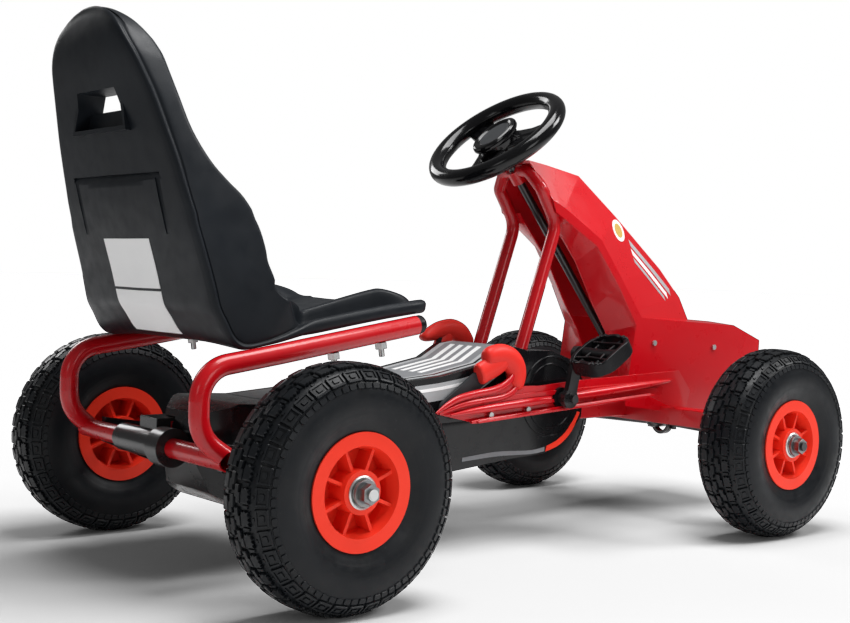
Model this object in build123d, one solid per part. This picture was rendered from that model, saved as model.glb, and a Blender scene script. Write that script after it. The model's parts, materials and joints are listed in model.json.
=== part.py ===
from build123d import *
import math
import os

# Pedal go-kart for a child, in millimetres. +X forward, +Y left, +Z up. The origin is on the floor, midway
# between the axles, on the kart's centre plane.

# Driving dimensions
WHEELBASE = 750.0
REAR_TRACK = 522.0
FRONT_TRACK = 498.0
TYRE_RADIUS = 130.0
TYRE_WIDTH = 85.0
REAR_X = -WHEELBASE / 2
FRONT_X = WHEELBASE / 2
AXLE_Z = TYRE_RADIUS

# Wheels
RIM_FLANGE_R = 61.5
BEAD_R = 52.0
RIM_WELL_R = 44.0
RIM_OUT = 34.4
RIM_IN = -39.0
HUB_R = 22.8
BEARING_R = 17.5
BEARING_WIDTH = 11.0
WEB_THICK = 5.0
RIB_COUNT = 8
AXLE_R = 8.0
RUNNING_GAP = 0.05
STUB_OUT = 53.0

# Frame
BEAM_Y0 = -12.0
BEAM_Y1 = 28.0
BEAM_Z0 = 145.0
BEAM_Z1 = 175.0
BEAM_REAR_X = -436.0
FRONT_BEAM_X0 = 338.0
FRONT_BEAM_X1 = 364.0
FRONT_BEAM_Z0 = 140.0
FRONT_BEAM_Z1 = 165.0
FRONT_BEAM_HALF = 160.0
TUBE_WALL = 1.5
SEAT_TUBE_R = 11.0
RAIL_Y = 156.0
RAIL_FRONT = (-198.0, 291.0)
RAIL_ALONG = Vector(0.9873, 0, 0.1592)
RAIL_DOWN = Vector(0.1592, 0, -0.9873)
CROSS_X = -455.0
CROSS_Z = 150.0
HOOP_R = 9.0
HOOP_Y = 42.0
SIDE_RAIL_Y = 102.0
SHEET = 2.5

# Steering: the column leans back by COLUMN_TILT from the vertical
COLUMN_TILT = 40.0
WHEEL_CENTRE = Vector(63.9, 0, 540.8)
STEERING_RADIUS = 92.5
STEERING_GRIP_R = 12.0
COLUMN_R = 6.0
KINGPIN_Y = 182.0
KINGPIN_R = 5.0
STEER_ARM = 45.0
TIE_EYE_R = 12.0

# Drive
CRANK_X = 98.0
CRANK_Z = 190.0
CRANK_ARM = 62.0
CRANK_LEAN = 13.0
CHAIN_Y = -68.0
CHAIN_PITCH = 12.7
SPROCKET_TEETH = 18
CHAINRING_TEETH = 24
PEDAL_Y0 = 130.0
PEDAL_Y1 = 198.0
PEDAL_LENGTH = 72.0
GUARD_Y_RIGHT = -88.0
GUARD_Y_LEFT = 52.0
GUARD_Y_FRONT = -56.0

COLUMN_AXIS = Vector(math.sin(math.radians(COLUMN_TILT)), 0, -math.cos(math.radians(COLUMN_TILT)))
COLUMN_SIDE = Vector(math.cos(math.radians(COLUMN_TILT)), 0, math.sin(math.radians(COLUMN_TILT)))


def cylinder(start, end, radius):
    """Round bar from start to end."""
    start = Vector(*start)
    end = Vector(*end)
    along = end - start
    plane = Plane(origin=start, z_dir=along)
    return extrude(plane * Circle(radius), amount=along.length)


def ring(start, end, outer, inner):
    """Round bar with a bore right through it."""
    start = Vector(*start)
    end = Vector(*end)
    step = (end - start).normalized()
    return cylinder(start, end, outer) - cylinder(start - step, end + step, inner)


def block(x0, x1, y0, y1, z0, z1):
    """Box between two corners."""
    corner = (Align.MIN, Align.MIN, Align.MIN)
    return Pos(x0, y0, z0) * Box(x1 - x0, y1 - y0, z1 - z0, align=corner)


def slab(outline, y0, y1):
    """Flat piece whose (x, z) outline runs from y0 to y1."""
    face = Plane.XZ * make_face(Polyline(*outline, close=True))
    return Pos(0, y1, 0) * extrude(face, amount=y1 - y0)


def swept(points, bend, outer, inner=0.0):
    """Bar or tube along straight runs joined by tangent arcs."""
    path = FilletPolyline(*points, radius=bend)
    section = Circle(outer)
    if inner > 0:
        section = section - Circle(inner)
    return sweep(Plane(origin=path @ 0, z_dir=path % 0) * section, path=path)


def mirror_y(shape):
    """The same piece on the kart's other side."""
    return mirror(shape, about=Plane.XZ)


def column_point(height):
    """Point of the steering column's axis at this height."""
    reach = (WHEEL_CENTRE.Z - height) / math.cos(math.radians(COLUMN_TILT))
    return WHEEL_CENTRE + COLUMN_AXIS * reach


def hex_bar(start, end, flats):
    """Six-sided bar, for nuts and bolt heads."""
    start = Vector(*start)
    along = Vector(*end) - start
    plane = Plane(origin=start, z_dir=along)
    return extrude(plane * RegularPolygon(flats / 2, 6, major_radius=False), amount=along.length)


# Wheels ------------------------------------------------------------------------------------------------

def revolve_wheel(outline):
    """Revolve an (outward distance, radius) outline about the wheel's axle, at the origin."""
    points = [(radius, outward) for outward, radius in outline]
    face = Plane.XY * make_face(Polyline(*points, close=True))
    return revolve(face, axis=Axis.Y)


def make_tyre():
    """Hollow carcass, outboard towards +Y: crown, shoulders, sidewalls and two beads."""
    half = TYRE_WIDTH / 2
    outer = [(-20, 130), (20, 130), (34, 126), (half, 112), (half, 96), (38, 74), (32, 61), (32, BEAD_R)]
    inner = [(24, BEAD_R), (24, 62), (31, 76), (35.5, 96), (35.5, 109), (30, 117), (18, 121), (-18, 121)]
    inner += [(-30, 117), (-35.5, 109), (-35.5, 96), (-31, 76), (-24, 62), (-24, BEAD_R)]
    outer += inner
    outer += [(-32, BEAD_R), (-32, 61), (-38, 74), (-half, 96), (-half, 112), (-34, 126)]
    return revolve_wheel(outer)


def make_inner_tube():
    """Butyl tube inside the carcass, with its valve stem through the rim's face."""
    centre_r = 88.0
    stem_r = 40.0
    elbow_y = 14.0
    tube = Rot(90, 0, 0) * (Torus(centre_r, 26.0) - Torus(centre_r, 24.0))
    neck = cylinder((0, elbow_y, stem_r), (0, elbow_y, centre_r - 22), 3.5)
    stem = cylinder((0, elbow_y - 3.5, stem_r), (0, 38, stem_r), 3.5)
    cap = cylinder((0, 38, stem_r), (0, 45, stem_r), 4.5)
    return [tube + neck + stem + cap]


def make_rim():
    """One-piece moulded rim: channel, recessed web with ribs, and hub."""
    flange_in = 47.0
    outline = [(RIM_OUT, flange_in), (RIM_OUT, RIM_FLANGE_R), (32.3, RIM_FLANGE_R), (32.3, 51.7)]
    outline += [(24, 51.7), (18, RIM_WELL_R + 4), (-18, RIM_WELL_R + 4), (-24, 51.7), (-32.3, 51.7)]
    outline += [(-32.3, RIM_FLANGE_R), (RIM_IN + 4, RIM_FLANGE_R), (RIM_IN + 4, flange_in)]
    outline += [(-18, 43), (18, 43)]
    rim = revolve_wheel(outline)
    hub = ring((0, RIM_IN, 0), (0, RIM_OUT, 0), HUB_R, 12.0)
    web = ring((0, 2, 0), (0, 2 + WEB_THICK, 0), 45.0, 12.0)
    rim = rim + hub + web
    for turn in range(RIB_COUNT):
        angle = (turn + 0.5) * 360 / RIB_COUNT
        rib = block(HUB_R - 2, 46, 2, 28, -1.75, 1.75) + block(HUB_R - 2, 46, -28, 2, -1.75, 1.75)
        rim = rim + Rot(0, angle, 0) * rib
    pocket = cylinder((0, RIM_OUT - BEARING_WIDTH, 0), (0, RIM_OUT + 1, 0), BEARING_R)
    pocket += cylinder((0, RIM_IN - 1, 0), (0, RIM_IN + BEARING_WIDTH, 0), BEARING_R)
    valve_hole = cylinder((0, 14, 38), (0, 14, 60), 3.7)
    return rim - pocket - valve_hole


def make_hub_bearings():
    """Two ball bearings with their dust covers, in the rim's pockets."""
    bore = AXLE_R + RUNNING_GAP
    outboard = ring((0, RIM_OUT - BEARING_WIDTH, 0), (0, RIM_OUT + 2, 0), BEARING_R, bore)
    inboard = ring((0, RIM_IN - 1, 0), (0, RIM_IN + BEARING_WIDTH, 0), BEARING_R, bore)
    return [outboard, inboard]


def place_wheel(shapes, x, side, track):
    """Move a wheel's pieces to their corner; side is 1 on the left and -1 on the right."""
    turn = Rot(0, 0, 0) if side > 0 else Rot(0, 0, 180)
    placed = [Pos(x, side * track / 2, AXLE_Z) * (turn * shape) for shape in shapes]
    return placed


def wheel_nodes(name, x, side, track):
    """The four nodes of one wheel."""
    return {
        f"tyre_{name}": place_wheel([make_tyre()], x, side, track),
        f"inner_tube_{name}": place_wheel(make_inner_tube(), x, side, track),
        f"rim_{name}": place_wheel([make_rim()], x, side, track),
        f"hub_bearings_{name}": place_wheel(make_hub_bearings(), x, side, track),
    }


def axle_end(x, side, track, inboard_from):
    """Shaft end from inboard_from outwards: journal, then a thinner threaded end."""
    middle = side * track / 2
    journal = cylinder((x, side * inboard_from, AXLE_Z), (x, middle + side * 41, AXLE_Z), AXLE_R)
    thread = cylinder((x, middle + side * 41, AXLE_Z), (x, middle + side * STUB_OUT, AXLE_Z), AXLE_R - 2)
    collar = cylinder((x, middle + side * (RIM_IN - 5), AXLE_Z), (x, middle + side * (RIM_IN - 1.3), AXLE_Z), 12.0)
    return journal + thread + collar


def axle_nut(x, side, track):
    """Washer and nut on a shaft's threaded end."""
    middle = side * track / 2
    washer = ring((x, middle + side * 36.7, AXLE_Z), (x, middle + side * 40.9, AXLE_Z), 14.0, AXLE_R)
    nut = hex_bar((x, middle + side * 41, AXLE_Z), (x, middle + side * 50, AXLE_Z), 19.0)
    bore = cylinder((x, middle + side * 40, AXLE_Z), (x, middle + side * 51, AXLE_Z), AXLE_R - 2)
    return [washer, nut - bore]


# Frame -------------------------------------------------------------------------------------------------

def make_main_beam():
    """Rectangular tube along the kart's spine, from the rear clamp to the front axle beam."""
    outer = block(BEAM_REAR_X, FRONT_BEAM_X0, BEAM_Y0, BEAM_Y1, BEAM_Z0, BEAM_Z1)
    bore = block(BEAM_REAR_X - 1, FRONT_BEAM_X0 + 1, BEAM_Y0 + 2, BEAM_Y1 - 2, BEAM_Z0 + 2, BEAM_Z1 - 2)
    return outer - bore


def make_cross_tube():
    """Round tube across the back, between the feet of the seat rails."""
    return ring((CROSS_X, -168, CROSS_Z), (CROSS_X, 168, CROSS_Z), SEAT_TUBE_R, SEAT_TUBE_R - TUBE_WALL)


def make_clamp():
    """Sleeve clamped on the cross tube, with a tongue bolted on the main beam."""
    sleeve = ring((CROSS_X, -25, CROSS_Z), (CROSS_X, 66, CROSS_Z), 16.0, SEAT_TUBE_R)
    collar = ring((CROSS_X, -52, CROSS_Z), (CROSS_X, -25, CROSS_Z), 22.0, SEAT_TUBE_R)
    tongue = block(CROSS_X, BEAM_REAR_X + 30, BEAM_Y0, BEAM_Y1, BEAM_Z1, BEAM_Z1 + 4)
    riser = block(CROSS_X, BEAM_REAR_X - 1, BEAM_Y0, BEAM_Y1, CROSS_Z, BEAM_Z1 + 4)
    riser -= cylinder((CROSS_X, -60, CROSS_Z), (CROSS_X, 70, CROSS_Z), SEAT_TUBE_R)
    return sleeve + collar + tongue + riser


def make_seat_rail():
    """Right seat rail: under the seat, round the back and down to the cross tube."""
    path = [(x, -RAIL_Y, z) for x, z in (RAIL_FRONT, (-384, 261), (-484, 246), (-484, 176))]
    path.append((-450, -RAIL_Y - 11, CROSS_Z))
    rail = swept(path, [300, 38, 42], SEAT_TUBE_R, SEAT_TUBE_R - TUBE_WALL)
    return rail - cylinder((CROSS_X, -200, CROSS_Z), (CROSS_X, -100, CROSS_Z), SEAT_TUBE_R)


def make_axle_bracket():
    """Right bracket: from the cross tube forward to the rear axle, with a bushed bore."""
    y0 = -142.0
    y1 = -132.0
    outline = [(CROSS_X + 8, CROSS_Z + 15), (REAR_X + 12, AXLE_Z + 22), (REAR_X + 22, AXLE_Z)]
    outline += [(REAR_X + 12, AXLE_Z - 20), (REAR_X - 14, AXLE_Z - 20), (CROSS_X + 8, CROSS_Z - 15)]
    plate = slab(outline, y0, y1)
    boss = cylinder((REAR_X, y0 - 4, AXLE_Z), (REAR_X, y1 + 4, AXLE_Z), 16.0)
    bore = cylinder((REAR_X, -160, AXLE_Z), (REAR_X, -100, AXLE_Z), AXLE_R + RUNNING_GAP)
    saddle = cylinder((CROSS_X, -160, CROSS_Z), (CROSS_X, -100, CROSS_Z), SEAT_TUBE_R)
    return plate + boss - bore - saddle


def make_side_rail():
    """Right pressed side rail: web with two swaged ribs and a lower flange turned outwards."""
    web_y = -SIDE_RAIL_Y
    lower = [(-121, 178), (-58, 164), (279, 186), (338, FRONT_BEAM_Z1), (364, FRONT_BEAM_Z1), (372, 190)]
    upper = [(345, 220), (130, 212), (60, 207), (20, 208), (-20, 207), (-60, 201)]
    web = slab(lower + upper, web_y - SHEET, web_y)
    flange = slab([(-58, 164), (279, 186), (279, 186 + SHEET), (-58, 164 + SHEET)], web_y - 14, web_y)
    swage_low = slab([(-90, 176), (-50, 176), (300, 198), (-50, 183)], web_y - 6, web_y)
    swage_high = slab([(-70, 188), (-44, 188), (330, 208), (-44, 196)], web_y - 6, web_y)
    pivot = cylinder((CRANK_X, web_y - 20, CRANK_Z), (CRANK_X, web_y + 5, CRANK_Z), 14.0)
    return web + flange + swage_low + swage_high - pivot


def make_crank_bush():
    """Flanged bush of the crank, pressed in the right side rail."""
    web_y = -SIDE_RAIL_Y
    body = cylinder((CRANK_X, web_y - 7, CRANK_Z), (CRANK_X, web_y, CRANK_Z), 14.0)
    flange = cylinder((CRANK_X, web_y, CRANK_Z), (CRANK_X, web_y + 4, CRANK_Z), 17.0)
    bore = cylinder((CRANK_X, web_y - 10, CRANK_Z), (CRANK_X, web_y + 10, CRANK_Z), AXLE_R + RUNNING_GAP)
    return body + flange - bore


def make_hoop_foot():
    """Square bar across the main beam that carries the steering hoop's two legs."""
    return block(52, 76, -HOOP_Y - HOOP_R, HOOP_Y + HOOP_R, BEAM_Z1, BEAM_Z1 + 24)


def hoop_tube(radius, bore_radius):
    """Inverted U of bent tube, its two legs standing on the foot bar."""
    foot_z = BEAM_Z1 + 24
    leg = [(64, foot_z), (86, 262), (144, 426), (112, 474)]
    path = [(x, -HOOP_Y, z) for x, z in leg]
    path += [(104, -24, 498), (104, 24, 498)]
    path += [(x, HOOP_Y, z) for x, z in reversed(leg)]
    return swept(path, [90, 34, 15, 15, 15, 15, 34, 90], radius, bore_radius)


def make_hoop():
    """Steering hoop with the column's upper bearing housing at its crown."""
    hoop = hoop_tube(HOOP_R, HOOP_R - TUBE_WALL) - make_hoop_foot()
    top = column_point(492.0)
    axis = COLUMN_AXIS * 10
    housing = cylinder(tuple(top - axis), tuple(top + axis), 11.0)
    bore = cylinder(tuple(top - axis * 2), tuple(top + axis * 2), COLUMN_R + RUNNING_GAP)
    return hoop + housing - bore


def make_column_bracket():
    """Lower bearing of the steering column, on the front axle beam."""
    centre = column_point(188.0)
    axis = COLUMN_AXIS * 10
    housing = cylinder(tuple(centre - axis), tuple(centre + axis), 10.5)
    foot = block(FRONT_BEAM_X0 + 2, FRONT_BEAM_X1 - 2, -14, 14, FRONT_BEAM_Z1, FRONT_BEAM_Z1 + 18)
    bore = cylinder(tuple(centre - axis * 5), tuple(centre + axis * 5), COLUMN_R + RUNNING_GAP)
    return housing + foot - bore


def make_front_beam():
    """Rectangular front axle beam."""
    outer = block(FRONT_BEAM_X0, FRONT_BEAM_X1, -FRONT_BEAM_HALF, FRONT_BEAM_HALF,
                  FRONT_BEAM_Z0, FRONT_BEAM_Z1)
    bore = block(FRONT_BEAM_X0 + 2, FRONT_BEAM_X1 - 2, -FRONT_BEAM_HALF - 1, FRONT_BEAM_HALF + 1,
                 FRONT_BEAM_Z0 + 2, FRONT_BEAM_Z1 - 2)
    return outer - bore


def make_kingpin_bracket():
    """Right fork of the front axle: a plate with two lugs, and its kingpin bolt."""
    y = -FRONT_BEAM_HALF
    plate = block(FRONT_BEAM_X0, FRONT_X + 18, y - 6, y, 104, FRONT_BEAM_Z1)
    lugs = block(FRONT_X - 15, FRONT_X + 18, y - 36, y - 6, 104, 110)
    lugs += block(FRONT_X - 15, FRONT_X + 18, y - 36, y - 6, 150, 156)
    lugs -= cylinder((FRONT_X, -KINGPIN_Y, 100), (FRONT_X, -KINGPIN_Y, 160), KINGPIN_R)
    pin = cylinder((FRONT_X, -KINGPIN_Y, 104), (FRONT_X, -KINGPIN_Y, 156), KINGPIN_R)
    pin += hex_bar((FRONT_X, -KINGPIN_Y, 156), (FRONT_X, -KINGPIN_Y, 162), 15.0)
    pin += hex_bar((FRONT_X, -KINGPIN_Y, 97), (FRONT_X, -KINGPIN_Y, 104), 15.0)
    return [plate + lugs, pin]


# Fairing -----------------------------------------------------------------------------------------------

def side_half_width(x):
    """Half-width of the fairing's side sheets, which flare towards the nose."""
    return 54.0 + (x - 120.0) * 0.11


def fairing_section(outline, inset, y_of_x):
    """Closed wire of an (x, z) outline at y = y_of_x(x)."""
    return Wire.make_polygon([(x, y_of_x(x) + inset, z) for x, z in outline], close=True)


def fairing_half(side, ridge, middle, ridge_y, inset):
    """Right half of the fairing's bulk: bevels from the side sheet to the ridge, then the middle."""
    side_wire = fairing_section(side, inset, lambda x: -side_half_width(x))
    ridge_wire = fairing_section(ridge, 0, lambda x: -ridge_y)
    bevel = Solid.make_loft([side_wire, ridge_wire], ruled=True)
    return Part(bevel.wrapped) + slab(middle, -ridge_y, 0)


def make_fairing():
    """Folded sheet fairing: side sheets turned in to the column, bevels, a sloping front and the nose box."""
    side = [(124, 458), (136, 453), (146, 448), (214, 406), (258, 347), (287, 307), (295, 296), (484, 285)]
    side += [(541, 262), (538, 150), (400, 150), (268, 168)]
    side_rear = [(272, 205), (285, 285), (250, 340), (206, 397), (130, 442)]
    ridge = [(98, 512), (131, 508), (198, 497), (277, 444), (382, 368), (430, 325), (452, 291), (505, 288)]
    ridge += [(549, 279), (547, 158), (400, 150), (318, 168)]
    ridge_rear = [(300, 208), (266, 274), (238, 312), (198, 375), (150, 428)]
    outer = fairing_half(side + side_rear, ridge + ridge_rear, ridge + ridge_rear, 30.0, 0.0)
    inner_side = [(110, 452), (134, 449.5), (144.5, 445), (211.5, 403.5), (255.5, 344.8), (284.5, 304.5)]
    inner_side += [(293, 293.3), (483, 282), (538, 259), (535, 130), (400, 120), (262, 140)]
    inner_side_rear = [(275, 205), (288, 284.5), (252.8, 341.6), (208.6, 399.4), (137, 441)]
    inner_ridge = [(84, 509), (131, 505), (197, 494), (275, 440.5), (380, 364.5), (427.5, 322.5), (450, 288)]
    inner_ridge += [(504, 285), (546, 276), (544, 130), (400, 120), (321, 140)]
    inner_ridge_rear = [(303, 208), (269, 275), (241, 313), (201, 376), (153, 429)]
    open_rear = [(280, 200), (230, 270), (180, 340), (110, 400)]
    inner = fairing_half(inner_side + inner_side_rear, inner_ridge + inner_ridge_rear,
                         inner_ridge + open_rear, 28.0, SHEET)
    half = outer - inner
    sheet = half + mirror_y(half) - hoop_tube(HOOP_R + 0.2, 0.0)
    sheet -= cylinder(tuple(column_point(560.0)), tuple(column_point(470.0)), 14.0)
    sheet -= block(FRONT_BEAM_X0 - 0.3, FRONT_BEAM_X1 + 0.3, -200, 200, 100, FRONT_BEAM_Z1 + 0.3)
    return sheet - block(200, FRONT_BEAM_X0, BEAM_Y0 - 0.3, BEAM_Y1 + 0.3, 100, BEAM_Z1 + 0.3)


# Chain guard -------------------------------------------------------------------------------------------

GUARD_TOP = [(-436, 172), (-428, 188), (-393, 200), (-327, 197), (-252, 203), (-176, 216), (-95, 223)]
GUARD_TOP += [(-26, 236), (8, 255), (30, 258), (48, 254)]
GUARD_BELLY = [(48, 112), (-8, 107), (-200, 90), (-335, 76), (-385, 80), (-420, 100), (-436, 140)]
GUARD_FRONT = [(20, 254), (97, 252), (145, 236), (162, 205), (158, 160), (128, 128), (90, 113), (20, 110)]
GUARD_PLAN = [(-437, -60), (-402, GUARD_Y_RIGHT), (60, GUARD_Y_RIGHT), (60, GUARD_Y_LEFT)]
GUARD_PLAN += [(-400, GUARD_Y_LEFT), (-437, 4)]


def guard_space(inset):
    """Bulk of the chain guard, its walls moved inwards by inset."""
    faces = []
    for outline in (GUARD_TOP + GUARD_BELLY, GUARD_FRONT):
        face = make_face(Polyline(*outline, close=True))
        faces.append(offset(face, amount=-inset) if inset > 0 else face)
    body = extrude(Plane.XZ * faces[0], amount=GUARD_Y_LEFT - GUARD_Y_RIGHT - 2 * inset)
    nose = extrude(Plane.XZ * faces[1], amount=GUARD_Y_FRONT - GUARD_Y_RIGHT - 2 * inset)
    plan = make_face(Polyline(*GUARD_PLAN, close=True))
    neck = extrude(offset(plan, amount=-inset) if inset > 0 else plan, amount=300)
    body = (Pos(0, GUARD_Y_LEFT - inset, 0) * body) & neck
    return body + Pos(0, GUARD_Y_FRONT - inset, 0) * nose


def make_guard():
    """Upper and lower shells of the chain guard, split along a line just above the rear axle."""
    shell = guard_space(0.0) - guard_space(SHEET)
    shell -= cylinder((REAR_X, -200, AXLE_Z), (REAR_X, 200, AXLE_Z), 12.0)
    shell -= cylinder((CRANK_X, -200, CRANK_Z), (CRANK_X, 0, CRANK_Z), 12.0)
    shell -= block(BEAM_REAR_X - 14, 100, BEAM_Y0 - 1, BEAM_Y1 + 1, BEAM_Z0 - 1, BEAM_Z1 + 5)
    shell -= cylinder((CROSS_X, -54, CROSS_Z), (CROSS_X, 68, CROSS_Z), 22.3)
    below = slab([(-460, 50), (200, 50), (200, 172), (-460, 152)], -100, 100)
    return shell - below, shell & below


# Seat --------------------------------------------------------------------------------------------------

def seat_bulk(profile, half_widths):
    """Side profile run across the kart, cut to the half-width that the seat has at each height."""
    right = [(-half, z) for half, z in half_widths]
    left = [(half, z) for half, z in reversed(half_widths)]
    front_view = Plane.YZ * make_face(Polyline(*(right + left), close=True))
    silhouette = Pos(-700, 0, 0) * extrude(front_view, amount=700)
    return slab(profile, -200, 200) & silhouette


def make_seat():
    """One-piece moulded bucket seat with a hand hole through its back."""
    back = [(-178, 311), (-194, 304.5), (-328, 283.5), (-384, 274.5), (-428, 270), (-450, 282), (-467, 312)]
    back += [(-490, 391), (-510, 460), (-530, 531), (-549, 590), (-545, 631)]
    rim = [(-530, 628), (-508, 590), (-497, 545), (-488, 515), (-474, 476), (-455, 441), (-432, 408)]
    rim += [(-406, 372), (-397, 341), (-381, 322), (-350, 313), (-284, 322), (-222, 332), (-180, 321)]
    widths = [(155, 262), (155, 290), (153, 320), (148, 391), (137, 460), (128, 495), (117, 531)]
    widths += [(105, 560), (87, 590), (60, 614), (30, 629), (8, 633)]
    pan = [(-176, 322), (-200, 315), (-240, 306), (-300, 296), (-360, 289), (-420, 284), (-438, 295)]
    lining = [(-457, 330), (-479, 393), (-499, 462), (-519, 533), (-537, 588), (-534, 618)]
    above = [(-480, 660), (-150, 660), (-150, 322)]
    inner_widths = [(half - 8, z) for half, z in widths[:-2]]
    inner_widths += [(22, 620)]
    shell = seat_bulk(back + rim, widths) - seat_bulk(pan + lining + above, inner_widths)
    surround = slab([(-519, 488), (-488, 488), (-501, 554), (-537, 554)], -66, 66)
    opening = Plane.YZ * make_face(Polyline((-58, 500), (58, 500), (45, 541), (-45, 541), close=True))
    return shell + surround - Pos(-600, 0, 0) * extrude(opening, amount=200)


# Steering ----------------------------------------------------------------------------------------------

def on_column(shape, along=0.0):
    """Put a shape made about +Z, facing the rider, on the column's axis."""
    origin = WHEEL_CENTRE - COLUMN_AXIS * along
    return Plane(origin=origin, x_dir=COLUMN_SIDE, z_dir=-COLUMN_AXIS) * shape


def make_steering_wheel():
    """Ring, three dished spokes and the boss that bolts on the column."""
    rim = Torus(STEERING_RADIUS, STEERING_GRIP_R)
    boss = Pos(0, 0, -22) * Cylinder(26, 24, align=(Align.CENTER, Align.CENTER, Align.MIN))
    wheel = rim + boss
    for angle in (0, 120, 240):
        spoke = block(15, STEERING_RADIUS - 4, -11, 11, -9, 0)
        wheel = wheel + Rot(0, 0, angle + 60) * spoke
    bore = Pos(0, 0, -30) * Cylinder(COLUMN_R, 26, align=(Align.CENTER, Align.CENTER, Align.MIN))
    return on_column(wheel - bore)


def make_steering_cap():
    """Domed cap over the wheel's boss."""
    dome = Cylinder(30, 10, align=(Align.CENTER, Align.CENTER, Align.MIN))
    return on_column(fillet(dome.edges().filter_by(GeomType.CIRCLE).sort_by(Axis.Z)[-1], 6.0), 2.0)


def make_column():
    """Steering column, its lower end bent into the crank that moves the tie rods."""
    start = WHEEL_CENTRE + COLUMN_AXIS * 4
    corner = column_point(128.0)
    path = [tuple(start), tuple(corner), (443, 0, 128), (468, 0, 138)]
    return swept(path, 12, COLUMN_R)


def make_knuckle(side):
    """Stub axle: kingpin sleeve, wheel spindle, forward steering arm and its tie-rod pin."""
    y = side * KINGPIN_Y
    sleeve = cylinder((FRONT_X, y, 110.3), (FRONT_X, y, 149.7), 10.0)
    arm = block(FRONT_X, FRONT_X + STEER_ARM + 8, y - 8, y + 8, 112, 117)
    pin = cylinder((FRONT_X + STEER_ARM, y, 117), (FRONT_X + STEER_ARM, y, 134), 4.0)
    stub = axle_end(FRONT_X, side, FRONT_TRACK, KINGPIN_Y)
    bore = cylinder((FRONT_X, y, 100), (FRONT_X, y, 160), KINGPIN_R + RUNNING_GAP)
    return sleeve + arm + pin + stub - bore


def make_tie_rod(side):
    """Tie rod between the column's crank and a knuckle; its inner eye hangs loose on the crank."""
    eye_x = 437.0 if side < 0 else 431.0
    outer = (FRONT_X + STEER_ARM, side * KINGPIN_Y)
    eye = ring((eye_x, 0, 128), (eye_x + 4, 0, 128), TIE_EYE_R + 5, TIE_EYE_R + 1)
    rod = cylinder((eye_x + 2, side * 20, 128), (outer[0], outer[1] - side * 7, 126), 4.0)
    end = ring((outer[0], outer[1], 120), (outer[0], outer[1], 131), 9.0, 4.0 + RUNNING_GAP)
    flat = block(eye_x, eye_x + 4, -30, 30, 120, 136) & block(400, 450, 13 if side > 0 else -24,
                                                              24 if side > 0 else -13, 120, 136)
    bore = cylinder((outer[0], outer[1], 110), (outer[0], outer[1], 140), 4.0 + RUNNING_GAP)
    return eye + flat + (rod - bore) + end


# Drive -------------------------------------------------------------------------------------------------

def pitch_radius(teeth):
    """Radius of the circle that the chain's pins follow on a sprocket."""
    return CHAIN_PITCH / (2 * math.sin(math.pi / teeth))


def make_sprocket(teeth, x, z, hub_r, phase):
    """Toothed disc in the chain's plane with a hub on its shaft."""
    radius = pitch_radius(teeth)
    step = 2 * math.pi / teeth
    outline = []
    for tooth in range(teeth):
        middle = tooth * step + phase
        for turn, reach in ((-0.32, -3.8), (-0.13, 3.2), (0.13, 3.2), (0.32, -3.8)):
            angle = middle + turn * step
            outline.append((x + (radius + reach) * math.cos(angle), z + (radius + reach) * math.sin(angle)))
    disc = slab(outline, CHAIN_Y - 1.5, CHAIN_Y + 1.5)
    hub = cylinder((x, CHAIN_Y - 8, z), (x, CHAIN_Y + 8, z), hub_r)
    wheel = disc + hub
    for turn in range(5):
        angle = turn * 2 * math.pi / 5
        hole_x = x + 0.6 * radius * math.cos(angle)
        hole_z = z + 0.6 * radius * math.sin(angle)
        wheel -= cylinder((hole_x, CHAIN_Y - 5, hole_z), (hole_x, CHAIN_Y + 5, hole_z), 0.17 * radius)
    return wheel - cylinder((x, CHAIN_Y - 10, z), (x, CHAIN_Y + 10, z), AXLE_R)


def make_chain():
    """Roller chain as two link strips and the rollers of its straight runs."""
    small = pitch_radius(SPROCKET_TEETH)
    large = pitch_radius(CHAINRING_TEETH)
    strips = []
    for reach in (4.2, -4.2):
        rear = Pos(REAR_X, AXLE_Z) * Circle(small + reach)
        front = Pos(CRANK_X, CRANK_Z) * Circle(large + reach)
        strips.append(make_hull(rear.edges() + front.edges()))
    loop = Plane.XZ * (strips[0] - strips[1])
    chain = Pos(0, CHAIN_Y - 2.4, 0) * extrude(loop, amount=1.2)
    chain += Pos(0, CHAIN_Y + 3.6, 0) * extrude(loop, amount=1.2)
    run = Vector(CRANK_X - REAR_X, 0, CRANK_Z - AXLE_Z)
    lean = math.atan2(run.Z, run.X)
    open_angle = math.acos((small - large) / run.length)
    margin = 27.0
    for side in (1, -1):
        angle = lean + side * open_angle
        normal = Vector(math.cos(angle), 0, math.sin(angle))
        start = Vector(REAR_X, 0, AXLE_Z) + normal * small
        end = Vector(CRANK_X, 0, CRANK_Z) + normal * large
        along = (end - start).normalized()
        count = int(((end - start).length - 2 * margin) / CHAIN_PITCH)
        for link in range(count + 1):
            spot = start + along * (margin + link * CHAIN_PITCH)
            chain += cylinder((spot.X, CHAIN_Y - 3, spot.Z), (spot.X, CHAIN_Y + 3, spot.Z), 3.6)
    return chain


def arm_end(side):
    """Where the pedal's pin is: the right arm points up and forward, the left one the other way."""
    lean = math.radians(CRANK_LEAN)
    return CRANK_X - side * CRANK_ARM * math.sin(lean), CRANK_Z - side * CRANK_ARM * math.cos(lean)


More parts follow.
